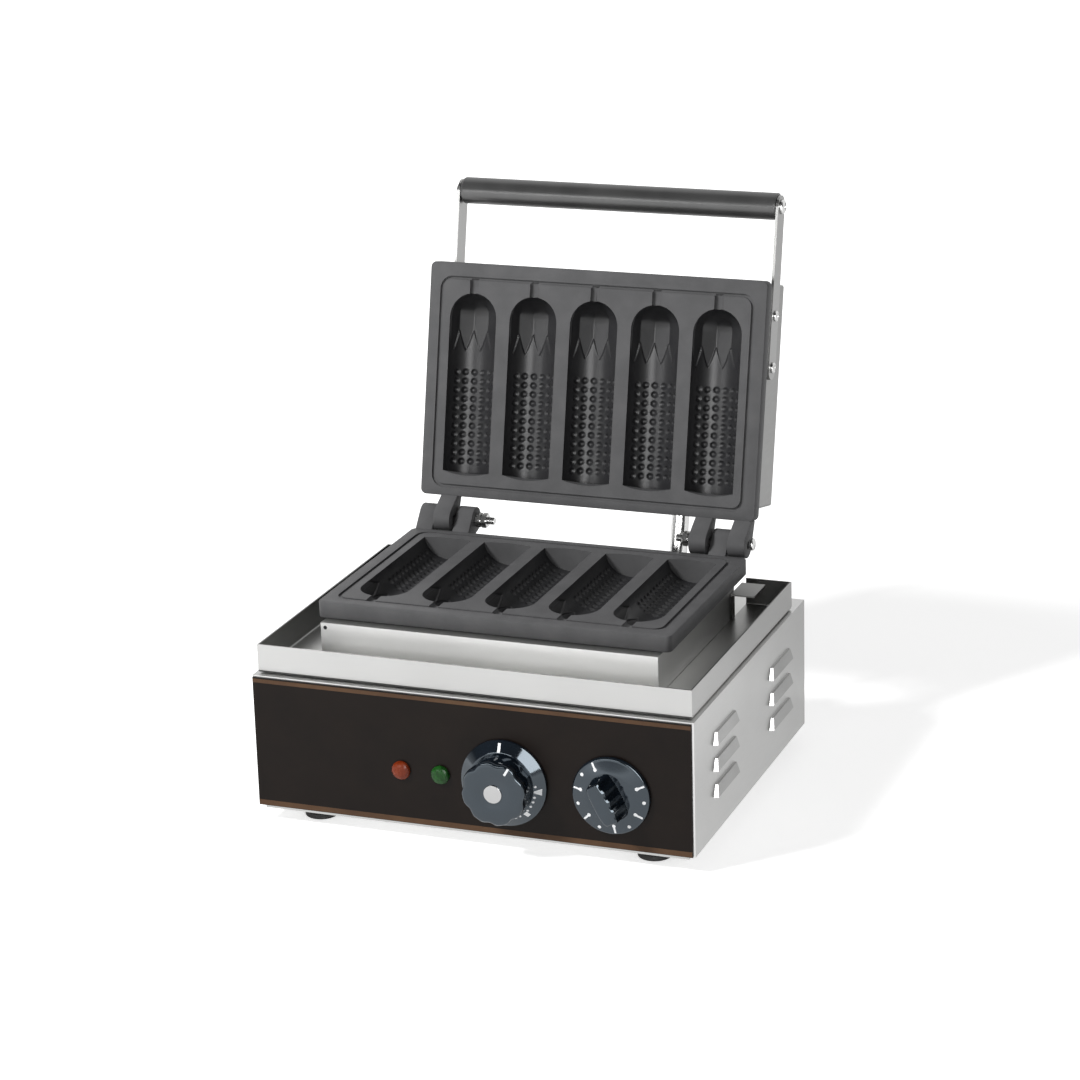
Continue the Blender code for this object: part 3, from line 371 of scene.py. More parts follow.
paints = {
    "front_steel": steel_paint("b2b2b1", "b9b9b8"),
    "frame_steel": frame_paint(),
    "tray_steel": tray_paint(),
    "housing_steel": steel_paint("a7a7a6", "aeaead", "Y"),
    "shell_steel": shell_paint(),
    "tab_steel": tab_paint(),
    "cover_steel": steel_paint("858584", "8b8b8a", "Y"),
    # The right handle arm's steel: painted darker than the left arm's, as shade
    "arm_steel_shaded": steel_paint("979796", "9e9e9d", "Y"),
    "disc_steel": steel_paint("a2a2a2", "a9a9a9", "Z", (0.16, 0.26)),
    "bright_steel": steel_paint("d2d2d1", "dcdcdb", "Z", (0.16, 0.26)),
    "coated_casting": casting_paint("545455", "5c5c5d"),
    # The moulds' coat: the casting's coating, painted darker as shade in the cavities
    "mould_shade_coat": casting_paint("28282a", "2f2f30", (0.30, 0.42), 0.36),
    "knob_black": plastic_paint("0a0f14", "111820", (0.06, 0.10), shine=0.75,
                                tint=(0.78, 0.90, 1.0, 1.0)),
    "panel_film": plastic_paint("120c09", "17100c", (0.30, 0.38), shine=0.12),
    "grip_black": plastic_paint("343434", "3e3e3e", (0.28, 0.36), shine=0.80),
    "case_black": plastic_paint("15161a", "202124", (0.30, 0.45)),
    "foot_rubber": plastic_paint("141312", "1f1d1a", (0.62, 0.80), 500.0, 0.0001),
    "red_lens": lens_paint("6a240a", "7c3216"),
    "green_lens": lens_paint("103710", "1b5019"),
    "ceramic": plastic_paint("cfc8b8", "ddd6c8", (0.70, 0.85), 700.0, 0.00005),
    "fibre": plastic_paint("c9c2b0", "ded8c8", (0.85, 0.95), 1600.0, 0.0003),
    "element_steel": steel_paint("6d6863", "8a847e", "Y", (0.35, 0.50)),
    "bulb_copper": steel_paint("a8683f", "c07d50", "Y", (0.25, 0.38)),
    "print_white": plastic_paint("e6e8ea", "f6f7f8", (0.30, 0.40)),
    "print_tan": plastic_paint("4b3628", "5a4330", (0.26, 0.34), shine=0.12),
}
for name, material in paints.items():
    material.name = name

# CAD nodes painted differently from the rest of their slot; the frame, tray, shell, tabs and right
# arm carry painted light and shade
node_paints = {"plate_frame": "frame_steel", "drip_tray": "tray_steel",
               "housing_shell": "shell_steel", "frame_tab_left": "tab_steel",
               "frame_tab_right": "tab_steel", "lid_cover": "cover_steel",
               "handle_arm_right": "arm_steel_shaded"}


def coat(item, paint):
    item.data.materials.clear()
    item.data.materials.append(paints[paint])


def repaint_cad():
    """Give every CAD node the procedural material of its slot in the record."""
    for row in frame["record"]["subparts"]:
        node = row["node"]
        coat(frame["nodes"][node], node_paints.get(node, row["material_slot"]))


# Building blocks


def new_object(name, data):
    item = bpy.data.objects.new(name, data)
    bpy.context.scene.collection.objects.link(item)
    return item


def object_from(bm, name, place=Matrix.Identity(4)):
    """An object from faces, which are turned outwards and put in place."""
    bmesh.ops.recalc_face_normals(bm, faces=bm.faces)
    mesh = bpy.data.meshes.new(name)
    bm.to_mesh(mesh)
    bm.free()
    mesh.transform(place)
    return new_object(name, mesh)


def full_turn(count):
    return [2 * math.pi * i / count for i in range(count)]


def box_object(name, low, high, corner=0.0, edge=0.0):
    """A box between two corners, with round upright edges and eased level edges."""
    low = Vector(low)
    high = Vector(high)
    bm = bmesh.new()
    middle = Matrix.Translation((low + high) / 2)
    bmesh.ops.create_cube(bm, size=1.0, matrix=middle @ Matrix.Diagonal((*(high - low), 1.0)))
    for size, level, segments in ((corner, False, 8), (edge, True, 2)):
        if size:
            edges = [e for e in bm.edges
                     if (abs(e.verts[0].co.z - e.verts[1].co.z) < 1e-6) == level]
            bmesh.ops.bevel(bm, geom=edges, offset=size, segments=segments, affect="EDGES",
                            profile=0.5)
    return object_from(bm, name)


def aimed(place, direction, axis):
    """In place, with one local axis along a direction."""
    turn = direction.to_track_quat(axis, "Y")
    return Matrix.Translation(place) @ turn.to_matrix().to_4x4()


def rod_object(name, radius, start, end, sides):
    start = Vector(start)
    end = Vector(end)
    bm = bmesh.new()
    bmesh.ops.create_cone(bm, cap_ends=True, segments=sides, radius1=radius, radius2=radius,
                          depth=(end - start).length,
                          matrix=aimed((start + end) / 2, end - start, "Z"))
    return object_from(bm, name)


def combine(target, tools, operation):
    """Apply one boolean step with several tools, which go away afterwards."""
    for tool in tools:
        modifier = target.modifiers.new(tool.name, "BOOLEAN")
        modifier.operation = operation
        modifier.solver = "EXACT"
        modifier.object = tool
    graph = bpy.context.evaluated_depsgraph_get()
    mesh = bpy.data.meshes.new_from_object(target.evaluated_get(graph))
    target.modifiers.clear()
    target.data = mesh
    for tool in tools:
        bpy.data.objects.remove(tool)


def smooth(item, angle):
    item.data.shade_smooth()
    item.data.set_sharp_from_angle(angle=math.radians(angle))


def finish_piece(item, paint, body, node=None, angle=30.0):
    """Shade and paint a piece, parent it to the body it rides on and hide the CAD node it replaces.
    """
    smooth(item, angle)
    coat(item, paint)
    if body:
        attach(item, body)
    if node:
        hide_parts(node)


# Turned and lofted pieces


def circle(bm, radius, height, sides):
    return [bm.verts.new((radius * math.cos(a), radius * math.sin(a), height))
            for a in full_turn(sides)]


def turned_object(name, profile, place, sides=96):
    """A turned piece from its profile of (radius, height) about its local Z."""
    bm = bmesh.new()
    rings = [circle(bm, r, h, sides if r > 1e-7 else 1) for r, h in profile]
    for upper, lower in zip(rings, rings[1:]):
        for i in range(sides):
            quad = [upper[i % len(upper)], upper[(i + 1) % len(upper)],
                    lower[(i + 1) % len(lower)], lower[i % len(lower)]]
            corners = list(dict.fromkeys(quad))
            if len(corners) > 2:
                bm.faces.new(corners)
    return object_from(bm, name, place)


def join_rings(bm, rings):
    """Faces from each ring to the next one of the same count."""
    for lower, upper in zip(rings, rings[1:]):
        for i in range(len(lower)):
            j = (i + 1) % len(lower)
            bm.faces.new((lower[i], lower[j], upper[j], upper[i]))


def add_skin(bm, rings):
    """A closed skin over rings of the same count."""
    join_rings(bm, rings)
    bm.faces.new(rings[-1])
    bm.faces.new(rings[0])


def loft(name, bm, rings, place=Matrix.Identity(4)):
    add_skin(bm, rings)
    return object_from(bm, name, place)


def facing_front(x, y, z):
    """Local Z looks towards the front, local Y up."""
    return Matrix.Translation((x, y, z)) @ Matrix.Rotation(math.pi / 2, 4, "X")


def along_x(x, axis_point, side):
    """Local Z looks outwards along X, to the right for side 1 and to the left for side -1."""
    return (Matrix.Translation((x, axis_point.y, axis_point.z))
            @ Matrix.Rotation(side * math.pi / 2, 4, "Y"))


def arc_points(centre_r, centre_h, radius, start, end, steps):
    """Profile points on an arc; angles from the outward direction towards the top."""
    turns = [math.radians(start + (end - start) * i / steps) for i in range(steps + 1)]
    return [(centre_r + radius * math.cos(a), centre_h + radius * math.sin(a)) for a in turns]


def dome(radius, rim, rise, angles=range(0, 91, 9)):
    """Profile points of a domed head, from its crown to its rim."""
    turns = [math.radians(a) for a in angles]
    return [(radius * math.sin(a), rim + rise * math.cos(a)) for a in turns]


# Castings


def pocket_outline(steps=24):
    """A cavity's rim on the cooking face, from its hinge end (y 0) to its stick end (y < 0)."""
    shares = [i / steps for i in range(steps + 1)]
    back = [(cavity_half * (1 - 2 * t), end_bulge * (1 - (1 - 2 * t) ** 2)) for t in shares]
    front = [(-cavity_half * math.cos(math.pi * t),
              -cavity_straight - cavity_half * math.sin(math.pi * t)) for t in shares]
    return back + front


def pocket_object(x, end_y):
    """A straight-sided pocket under a cavity's rim."""
    bm = bmesh.new()
    rings = [[bm.verts.new((x + px, end_y + py, z)) for px, py in pocket_outline()]
             for z in (pocket_floor - casting_thickness, pocket_above)]
    return loft("pocket", bm, rings)


def step_up(value):
    """Zero below 0, one above 1 and smooth between."""
    t = np.clip(value, 0.0, 1.0)
    return t * t * (3 - 2 * t)


def relief(s, phi):
    """How deep the mould's pattern goes at distance s from the hinge end and angle phi."""
    kernels = np.zeros_like(s)
    for angle in kernel_angles:
        across = (phi - math.radians(angle)) * cavity_radius
        for row in range(kernel_rows):
            along = s - kernel_first - row * kernel_pitch
            near = np.sqrt(across**2 + along**2) / kernel_radius
            dome = np.clip(1 - near**2, 0.0, 1.0) ** kernel_fullness
            kernels = np.maximum(kernels, kernel_depth * dome)
    wave = np.abs((phi / leaf_half_angle) % 2.0)
    wave = np.where(wave > 1, 2 - wave, wave)
    border = leaf_tip + (leaf_notch - leaf_tip) * wave**1.3
    leaf = step_up((s - border) / leaf_edge)
    facet = cavity_radius * (1 / np.cos(wave * leaf_half_angle) - 1)
    fade = 1 - step_up((s - leaf_fade_start) / leaf_fade_length)
    rim = step_up((rim_angle - np.abs(phi)) / rim_fade_angle)
    return kernels + leaf * (leaf_depth + facet) * fade * rim


def cavity_grid():
    """The cavity's surface as rows and columns of points, with its pattern."""
    ends = [start for start, _ in relief_steps[1:]] + [cavity_straight]
    rows = [np.arange(start, end, step) for (start, step), end in zip(relief_steps, ends)]
    bend = cavity_straight + cavity_half * np.sin(np.linspace(0.0, math.pi / 2, bend_rows))
    s = np.concatenate([*rows, bend])
    past = np.clip(s - cavity_straight, 0.0, None)
    radius = np.sqrt(np.clip(cavity_radius**2 - past**2, cavity_rise**2, None))
    limit = np.arccos(np.clip(cavity_rise / radius, -1.0, 1.0))
    share = np.linspace(-1.0, 1.0, relief_columns + 1)
    phi = np.outer(limit, share)
    s2 = np.repeat(s[:, None], len(share), 1)
    depth = radius[:, None] + relief(s2, phi)
    x = depth * np.sin(phi)
    z = cavity_rise - depth * np.cos(phi)
    near_end = 1 - step_up(s2 / end_blend)
    y = -s2 + near_end * end_bulge * np.clip(1 - (x / cavity_half) ** 2, 0.0, 1.0)
    slot_half = math.sqrt(slot_radius**2 - slot_rise**2)
    floor = slot_rise - np.sqrt(np.clip(slot_radius**2 - x**2, 0.0, None))
    in_slot = (np.abs(x) < slot_half) & (s2 > cavity_straight)
    z = np.where(in_slot, np.minimum(z, floor), z)
    return np.stack([x, y, z], axis=2)


def mould_mesh():
    """One mould: the patterned cavity surface, closed by walls and a floor inside the casting."""
    grid = cavity_grid()
    rows, columns = grid.shape[:2]
    index = np.arange(rows * columns).reshape(rows, columns)
    rim = np.concatenate([index[0, :-1], index[:-1, -1], index[-1, :0:-1], index[:0:-1, 0]])
    points = grid.reshape(-1, 3)
    centre = np.maximum(points[rim, 1], -cavity_straight)
    outward = np.stack([points[rim, 0], points[rim, 1] - centre], axis=1)
    outward[:columns] = (0.0, 1.0)
    outward *= mould_ledge / np.linalg.norm(outward, axis=1)[:, None]
    outward[:columns] *= mould_ledge_back / mould_ledge
    ledge = points[rim].copy()
    ledge[:, :2] += outward
    ledge[:, 2] -= mould_ledge_drop
    low = ledge.copy()
    low[:, 2] = mould_floor_rise - casting_thickness
    count = len(rim)
    loops = [rim] + [rows * columns + step * count + np.arange(count) for step in (0, 1)]
    corners = index[:-1, :-1], index[:-1, 1:], index[1:, 1:], index[1:, :-1]
    faces = np.stack([corner.ravel() for corner in corners], axis=1).tolist()
    pattern_count = len(faces)
    faces.append(loops[-1][::-1].tolist())
    for upper, lower in zip(loops, loops[1:]):
        faces += np.stack([upper, lower, np.roll(lower, -1), np.roll(upper, -1)], axis=1).tolist()
    mesh = bpy.data.meshes.new("mould")
    mesh.from_pydata(np.concatenate([points, ledge, low]).tolist(), [], faces)
    bm = bmesh.new()
    bm.from_mesh(mesh)
    for face in bm.faces:
        face.smooth = face.index < pattern_count
    bmesh.ops.remove_doubles(bm, verts=bm.verts, dist=1e-6)
    bmesh.ops.recalc_face_normals(bm, faces=bm.faces)
    bm.to_mesh(mesh)
    bm.free()
    # The darker mould coat is painted shade in the cavities.
    mesh.materials.append(paints["mould_shade_coat"])
    return mesh


def add_moulds(casting, places, end_y):
    """Join the patterned moulds to the casting's mesh."""
    pattern = mould_mesh()
    for x in places:
        mesh = pattern.copy()
        mesh.transform(Matrix.Translation((x, end_y, 0.0)))
        mould = new_object("mould", mesh)
        with bpy.context.temp_override(active_object=casting,
                                       selected_editable_objects=[casting, mould]):
            bpy.ops.object.join()


def lug_object(x):
    """A hinge knuckle with its neck, as in the CAD but with more sides."""
    neck_y = -hinge_setback - lug_overlap
    bm = bmesh.new()
    for end in (-knuckle_width / 2, knuckle_width / 2):
        for angle in full_turn(48):
            bm.verts.new((x + end, knuckle_radius * math.cos(angle),
                          hinge_rise + knuckle_radius * math.sin(angle)))
        for z in (-lug_thickness, -lug_top_drop):
            bm.verts.new((x + end, neck_y, z))
    hull = bmesh.ops.convex_hull(bm, input=bm.verts)
    loose = [v for v in hull["geom_interior"] if isinstance(v, bmesh.types.BMVert)]
    bmesh.ops.delete(bm, geom=loose, context="VERTS")
    bmesh.ops.dissolve_limit(bm, angle_limit=math.radians(1), verts=bm.verts, edges=bm.edges)
    ends = [e for e in bm.edges if abs(e.verts[0].co.x - e.verts[1].co.x) < 1e-7]
    bmesh.ops.bevel(bm, geom=ends, offset=lug_edge_round, segments=2, affect="EDGES", profile=0.5)
    return object_from(bm, "lug")


def lug_parts(fork_side):
    """Two knuckles on the fork's side and one between the other plate's two on the other side."""
    step = knuckle_width + knuckle_gap
    parts = []
    for side in (-1, 1):
        for offset in (-step, step) if side == fork_side else (0.0,):
            parts.append(lug_object(side * hinge_spacing / 2 + offset))
    return parts


def inset_box(name, insets, low_z, high_z, corner=0.0, edge=0.0):
    """A box set in from the plate's sides, front and back."""
    side, front, back = insets
    half = plate_width / 2 - side
    return box_object(name, (-half, plate_front + front, low_z),
                      (half, -hinge_setback - back, high_z), corner, edge)


def casting_object(name, node, body, place, fork_side):
    """A casting with its moulds, in place of its CAD node.

    It is made with its cooking face at z 0 looking up and its hinge axis at y 0.
    """
    casting = inset_box(name, (0.0, 0.0, 0.0), -plate_thickness, 0.0, plate_corner,
                        plate_edge_round)
    core = inset_box("core", core_insets, -casting_thickness, -plate_thickness / 2)
    combine(casting, [core] + lug_parts(fork_side), "UNION")
    ring = inset_box("ring", groove_insets, -groove_depth, groove_depth, groove_corner)
    island = inset_box("island", [inset + groove_width for inset in groove_insets],
                       -2 * groove_depth, 2 * groove_depth, groove_corner - groove_width)
    combine(ring, [island], "DIFFERENCE")
    tools = [ring]
    end_y = plate_front + cavity_front_inset + cavity_length
    slot_start = plate_front + groove_insets[1] + groove_width / 2
    slot_end = plate_front + cavity_front_inset + cavity_radius / 2
    places = [(i - (cavity_count - 1) / 2) * cavity_pitch for i in range(cavity_count)]
    for x in places:
        tools.append(pocket_object(x, end_y))
        tools.append(rod_object("slot", slot_radius, (x, slot_start, slot_rise),
                                (x, slot_end, slot_rise), 32))
    for side in (-1, 1):
        centre = side * hinge_spacing / 2
        reach = 2 * knuckle_width
        tools.append(rod_object("bore", pin_bore_radius, (centre - reach, 0.0, hinge_rise),
                                (centre + reach, 0.0, hinge_rise), 40))
    combine(casting, tools, "DIFFERENCE")
    smooth(casting, 25.0)
    coat(casting, "coated_casting")
    add_moulds(casting, places, end_y)
    casting.data.transform(place)
    if place.determinant() < 0:
        casting.data.flip_normals()
    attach(casting, body)
    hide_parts(node)


# Printed marks

mark_steps = 8
print_rise = 0.00008
print_sink = 0.00012


def mark(angle_deg, stations):
    """A mark on a dial: its angle is clockwise from the top, its stations are (radius, width)."""
    a = math.radians(angle_deg)
    out = Vector((math.sin(a), math.cos(a)))
    side = Vector((math.cos(a), -math.sin(a)))
    return [(out * r - side * w / 2, out * r + side * w / 2) for r, w in stations]


def bar(inner, outer, inner_width, outer_width):
    shares = [i / mark_steps for i in range(mark_steps + 1)]
    return [(inner + (outer - inner) * t, inner_width + (outer_width - inner_width) * t)
            for t in shares]


def dot(radius, size):
    turns = [math.radians(a) for a in range(-80, 81, 20)]
    return [(radius + size * math.sin(t), 2 * size * math.cos(t)) for t in turns]


def club(inner, outer, head, stem):
    """A stem towards the rim with a round head at its inner end."""
    turns = [math.radians(a) for a in range(-80, 41, 20)]
    middle = inner + head / 2
    shape = [(middle + head / 2 * math.sin(t), head * math.cos(t)) for t in turns]
    return shape + bar(middle + head * 0.55, outer, stem, stem)


def printed_marks(name, marks, height_at, place, body):
    """Thin printed marks that follow a dial's surface."""
    bm = bmesh.new()
    for pairs in marks:
        rings = []
        for left, right in pairs:
            corners = ((left, print_rise), (right, print_rise),
                       (right, -print_sink), (left, -print_sink))
            rings.append([bm.verts.new((p.x, p.y, height_at(p.length) + rise))
                          for p, rise in corners])
        add_skin(bm, rings)
    item = object_from(bm, name, place)
    coat(item, "print_white")
    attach(item, body)


# Thermostat knob

dial_radius = 0.0328
dial_round = 0.0005
dial_edge = 0.0020
dial_height = 0.0065
dial_neck_radius = 0.0250
shaft_radius = 0.0033
cap_gap = 0.0003
cap_sides = 192
cap_face_level = 0.0155
scoop_count = 8
scoop_width = math.radians(31)
ridge_angle = math.radians(31)
disc_radius = 0.0069
disc_height = 0.0172
disc_edge = 0.0004

# Height, radius on a ridge and scoop depth, from the cap's seat over its rim into its dip
cap_levels = (
    (0.0, 0.0233, 0.0010), (0.0010, 0.0234, 0.0011), (0.0040, 0.0238, 0.0012),
    (0.0080, 0.0242, 0.0014), (0.0120, 0.0245, 0.0015), (0.0148, 0.0246, 0.0016),
    (0.0158, 0.0243, 0.0016), (0.0164, 0.0237, 0.0015), (0.0167, 0.0228, 0.0012),
    (0.0170, 0.0203, 0.0007), (0.0172, 0.0170, 0.0002), (0.0173, 0.0138, 0.0),
    (0.0171, 0.0115, 0.0), (0.0166, 0.0092, 0.0), (0.0164, 0.0076, 0.0),
)
dial_place = facing_front(thermostat_x, knob_seat_y, control_z)
cap_place = facing_front(thermostat_x, knob_seat_y - dial_height - cap_gap, control_z)


def skirt_height(radius):
    """Height of the dial's skirt at a radius: a plain cone."""
    share = (dial_radius - radius) / (dial_radius - dial_neck_radius)
    share = min(max(share, 0.0), 1.0)
    return dial_edge + (dial_height - dial_edge) * share


def thermostat_dial_object():
    """The dial's conical skirt, with an edge rounded tangent to the cone."""
    slope = math.atan2(dial_height - dial_edge, dial_radius - dial_neck_radius)
    outer = dial_radius - dial_round * (1 - math.sin(slope))
    radii = [dial_neck_radius + (outer - dial_neck_radius) * i / 12 for i in range(13)]
    profile = [(shaft_radius, dial_height), (dial_neck_radius - 0.0006, dial_height)]
    profile += [(r, skirt_height(r)) for r in radii]
    profile += arc_points(dial_radius - dial_round, skirt_height(outer) - dial_round
                          * math.cos(slope), dial_round, 90 - math.degrees(slope), 0, 6)[1:]
    profile += [(dial_radius, 0.0), (shaft_radius, 0.0), (shaft_radius, dial_height)]
    item = turned_object("thermostat_skirt", profile, dial_place, 128)
    finish_piece(item, "knob_black", "thermostat_knob", "thermostat_dial")


def scoop(angle):
    """How far a scoop draws the cap's side in at an angle: zero on a ridge, one mid scoop."""
    pitch = 2 * math.pi / scoop_count
    off = abs((angle - ridge_angle) % pitch - pitch / 2)
    return (1 + math.cos(math.pi * min(off / (scoop_width / 2), 1.0))) / 2


def thermostat_cap_object():
    """The scooped cap with a domed front, a shallow dip and a bright disc."""
    bm = bmesh.new()
    rings = []
    for height, radius, depth in cap_levels:
        spokes = [(a, radius - depth * scoop(a)) for a in full_turn(cap_sides)]
        rings.append([bm.verts.new((r * math.sin(a), r * math.cos(a), height))
                      for a, r in spokes])
    item = loft("thermostat_cap_piece", bm, rings, cap_place)
    finish_piece(item, "knob_black", "thermostat_knob", "thermostat_cap", 50.0)
    low = cap_levels[-1][0] - 0.0002
    profile = [(0.0, disc_height)]
    profile += arc_points(disc_radius - disc_edge, disc_height - disc_edge, disc_edge, 90, 0, 4)
    profile += [(disc_radius, low), (0.0, low)]
    disc = turned_object("cap_disc", profile, cap_place, 64)
    finish_piece(disc, "disc_steel", "thermostat_knob")


def cap_face_height(radius):
    """Height of the cap's front at a radius, on a ridge."""
    face = [(r, h) for h, r, _ in reversed(cap_levels) if h > cap_face_level]
    return float(np.interp(radius, [r for r, _ in face], [h for _, h in face]))


def thermostat_marks():
    marks = [mark(-3, bar(0.0252, 0.0313, 0.0022, 0.0022)),
             mark(95, bar(0.0250, 0.0302, 0.0012, 0.0052)),
             mark(137.5, bar(0.0258, 0.0296, 0.0034, 0.0032))]
    for angle in (86, 104.5, 113, 122, 131, 148.5, 157, 165.5):
        marks.append(mark(angle, dot(0.0260, 0.0009)))
    printed_marks("thermostat_marks", marks, skirt_height, dial_place, "thermostat_knob")
    line = [mark(math.degrees(ridge_angle), bar(0.0182, 0.0240, 0.0017, 0.0017))]
    printed_marks("cap_line", line, cap_face_height, cap_place, "thermostat_knob")


# Timer knob

timer_dial_radius = 0.0292
timer_dial_round = 0.0016
timer_dial_height = 0.0050
timer_dial_flat = 0.0170
timer_dial_fall = 0.0022
timer_grip_gap = 0.0003
timer_angle = math.radians(-27.5)
timer_mark_count = 11
timer_mark_first = -28.5
timer_mark_step = -26.4
flute_pitch = 0.0076
flute_count = 4
flute_depth = 0.0012
grip_steps = 240

# Height, reach to the smooth side and to the fluted side, half length and share of the flutes
grip_levels = (
    (0.0, 0.0082, 0.0094, 0.0172, 0.2), (0.0015, 0.0082, 0.0091, 0.0172, 0.5),
    (0.0050, 0.0080, 0.0083, 0.0169, 0.9), (0.0090, 0.0078, 0.0074, 0.0164, 1.0),
    (0.0125, 0.0076, 0.0066, 0.0160, 1.0), (0.0142, 0.0073, 0.0062, 0.0157, 0.8),
    (0.0149, 0.0068, 0.0048, 0.0153, 0.4), (0.0152, 0.0062, 0.0041, 0.0148, 0.15),
    (0.0153, 0.0054, 0.0034, 0.0140, 0.05), (0.01545, 0.0028, 0.0018, 0.0095, 0.0),
    (0.0155, 0.0002, 0.0002, 0.0020, 0.0),
)
timer_dial_outer = timer_dial_radius - timer_dial_round


def timer_face_height(radius):
    """Height of the timer's dial at a radius: flat under the grip, then falling a little."""
    share = (radius - timer_dial_flat) / (timer_dial_outer - timer_dial_flat)
    share = min(max(share, 0.0), 1.0)
    return timer_dial_height - timer_dial_fall * share**1.1


def timer_dial_object():
    place = facing_front(timer_x, knob_seat_y, control_z)
    radii = [shaft_radius + i * (timer_dial_outer - shaft_radius) / 24 for i in range(25)]
    profile = [(r, timer_face_height(r)) for r in radii]
    profile += arc_points(timer_dial_outer, timer_face_height(timer_dial_outer)
                          - timer_dial_round, timer_dial_round, 80, 0, 8)
    profile += [(timer_dial_radius, 0.0), (shaft_radius, 0.0), (shaft_radius, timer_dial_height)]
    item = turned_object("timer_skirt", profile, place, 128)
    finish_piece(item, "knob_black", "timer_knob", "timer_dial")
    marks = []
    for index in range(timer_mark_count):
        shape = dot(0.0255, 0.0013) if index % 2 else club(0.0208, 0.0278, 0.0026, 0.0014)
        marks.append(mark(timer_mark_first + index * timer_mark_step, shape))
    printed_marks("timer_marks", marks, timer_face_height, place, "timer_knob")


def timer_grip_object():
    """The bar grip: smooth on one long side, with a row of flutes along the other."""
    seat = knob_seat_y - timer_dial_height - timer_grip_gap
    place = facing_front(timer_x, seat, control_z) @ Matrix.Rotation(-timer_angle, 4, "Z")
    bm = bmesh.new()
    rings = []
    for height, left, right, half_length, share in grip_levels:
        ring = []
        for a in full_turn(grip_steps):
            across = math.copysign(abs(math.cos(a)) ** 0.32, math.cos(a))
            along = math.copysign(abs(math.sin(a)) ** 0.85, math.sin(a))
            y = half_length * along
            x = (right if across > 0 else left) * across
            if across > 0 and abs(y) < flute_pitch * flute_count / 2:
                hollow = abs(math.sin(math.pi * y / flute_pitch))
                x -= flute_depth * share * hollow * across
            ring.append(bm.verts.new((x, y, height)))
        rings.append(ring)
    item = loft("timer_grip_piece", bm, rings, place)
    finish_piece(item, "knob_black", "timer_knob", "timer_grip", 35.0)


# Small parts

# Head radius, head height and shank radius
arm_screw_size = (0.0042, 0.0022, 0.0020)
grip_screw_size = (0.0056, 0.0032, 0.0025)
pin_head_radius = 0.0048
pin_head_height = 0.0026
pin_radius = 0.0030
head_rim_share = 0.3
thread_length = 0.0160
thread_pitch = 0.0010
thread_depth = 0.0003
nut_radius = 0.0052
nut_bore_radius = 0.0031
nut_chamfer_share = 0.12
nut_steps = 48
foot_radius = 0.0127
foot_edge = 0.0012
foot_top_radius = 0.0110
foot_top_edge = 0.0006
foot_bore_radius = 0.0023
foot_recess_radius = 0.0060
foot_recess_depth = 0.0060
foot_recess_edge = 0.0004
grip_radius = 0.01045
grip_round = 0.0026
grip_end_round = 0.0008
conduit_radius = 0.0069
conduit_tail = 0.0050
conduit_reach = 0.0240
conduit_rings = 48
conduit_sides = 40
sheet_edge = 0.00035

# Radius beyond the top's and height, down a foot's side to its groove
foot_side = ((0.0006, 0.0046), (0.0002, 0.0042), (0.0009, 0.0037))
sheet_nodes = ("housing_shell", "drip_tray", "plate_frame", "frame_tab_left", "frame_tab_right",
               "lid_cover", "handle_arm_left", "handle_arm_right", "bottom_plate", "panel_overlay")


def middle_of(node):
    low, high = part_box(node)
    return (low + high) / 2


def head_seat(node, head_height):
    """A side fastener's side, where its head sits along X, and how far it reaches inwards."""
    low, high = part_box(node)
    side = 1 if low.x + high.x > 0 else -1
    seat = high.x - head_height if side > 0 else low.x + head_height
    return side, seat, high.x - low.x - head_height


def screw_object(node, head_radius, head_height, shank_radius):
    """A dome-headed screw with a cross recess, on the left or right of the lid."""
    side, seat, reach = head_seat(node, head_height)
    rim = head_rim_share * head_height
    profile = dome(head_radius, rim, head_height - rim)
    profile += [(head_radius, 0.0), (shank_radius, 0.0), (shank_radius, -reach), (0.0, -reach)]
    screw = turned_object(node + "_piece", profile, Matrix.Identity(4), 48)
    wing = 0.55 * head_radius
    half = 0.12 * head_radius
    floor = 0.55 * head_height
    top = 2 * head_height
    cross = [box_object("cross", (-x, -y, floor), (x, y, top))
             for x, y in ((wing, half), (half, wing))]
    combine(screw, cross, "DIFFERENCE")
    screw.data.transform(along_x(seat, middle_of(node), side))
    finish_piece(screw, "bright_steel", "lid", node, 35.0)


def pin_object(node):
    """A hinge bolt: a domed head outside and a threaded tail past the nuts."""
    side, seat, reach = head_seat(node, pin_head_height)
    rim = head_rim_share * pin_head_height
    profile = dome(pin_head_radius, rim, pin_head_height - rim)
    profile += [(pin_head_radius, 0.0), (pin_radius, 0.0)]
    for index in range(int(thread_length / thread_pitch)):
        start = -reach + thread_length - index * thread_pitch
        profile += [(pin_radius, start), (pin_radius - thread_depth, start - thread_pitch / 2)]
    profile += [(pin_radius - thread_depth, -reach), (0.0, -reach)]
    place = along_x(seat, hinge_point, side)
    pin = turned_object(node + "_piece", profile, place, 40)
    finish_piece(pin, "bright_steel", "base", node, 25.0)


def nut_object(node):
    """A six-sided nut with rounded-off corners at both ends."""
    low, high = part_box(node)
    height = high.x - low.x
    corner = nut_radius / math.cos(math.pi / 6)
    bm = bmesh.new()
    rings = []
    for level, limit in ((0.0, nut_radius), (nut_chamfer_share, corner),
                         (1.0 - nut_chamfer_share, corner), (1.0, nut_radius)):
        ring = []
        for a in full_turn(nut_steps):
            flat = nut_radius / math.cos((a + math.pi / 6) % (math.pi / 3) - math.pi / 6)
            r = min(flat, limit)
            ring.append(bm.verts.new((r * math.cos(a), r * math.sin(a), height * level)))
        rings.append(ring)
    for level in (1.0, 0.0):
        rings.append(circle(bm, nut_bore_radius, height * level, nut_steps))
    join_rings(bm, rings + rings[:1])
    place = along_x(low.x, hinge_point, 1)
    finish_piece(object_from(bm, node + "_piece", place), "bright_steel", "base", node, 25.0)


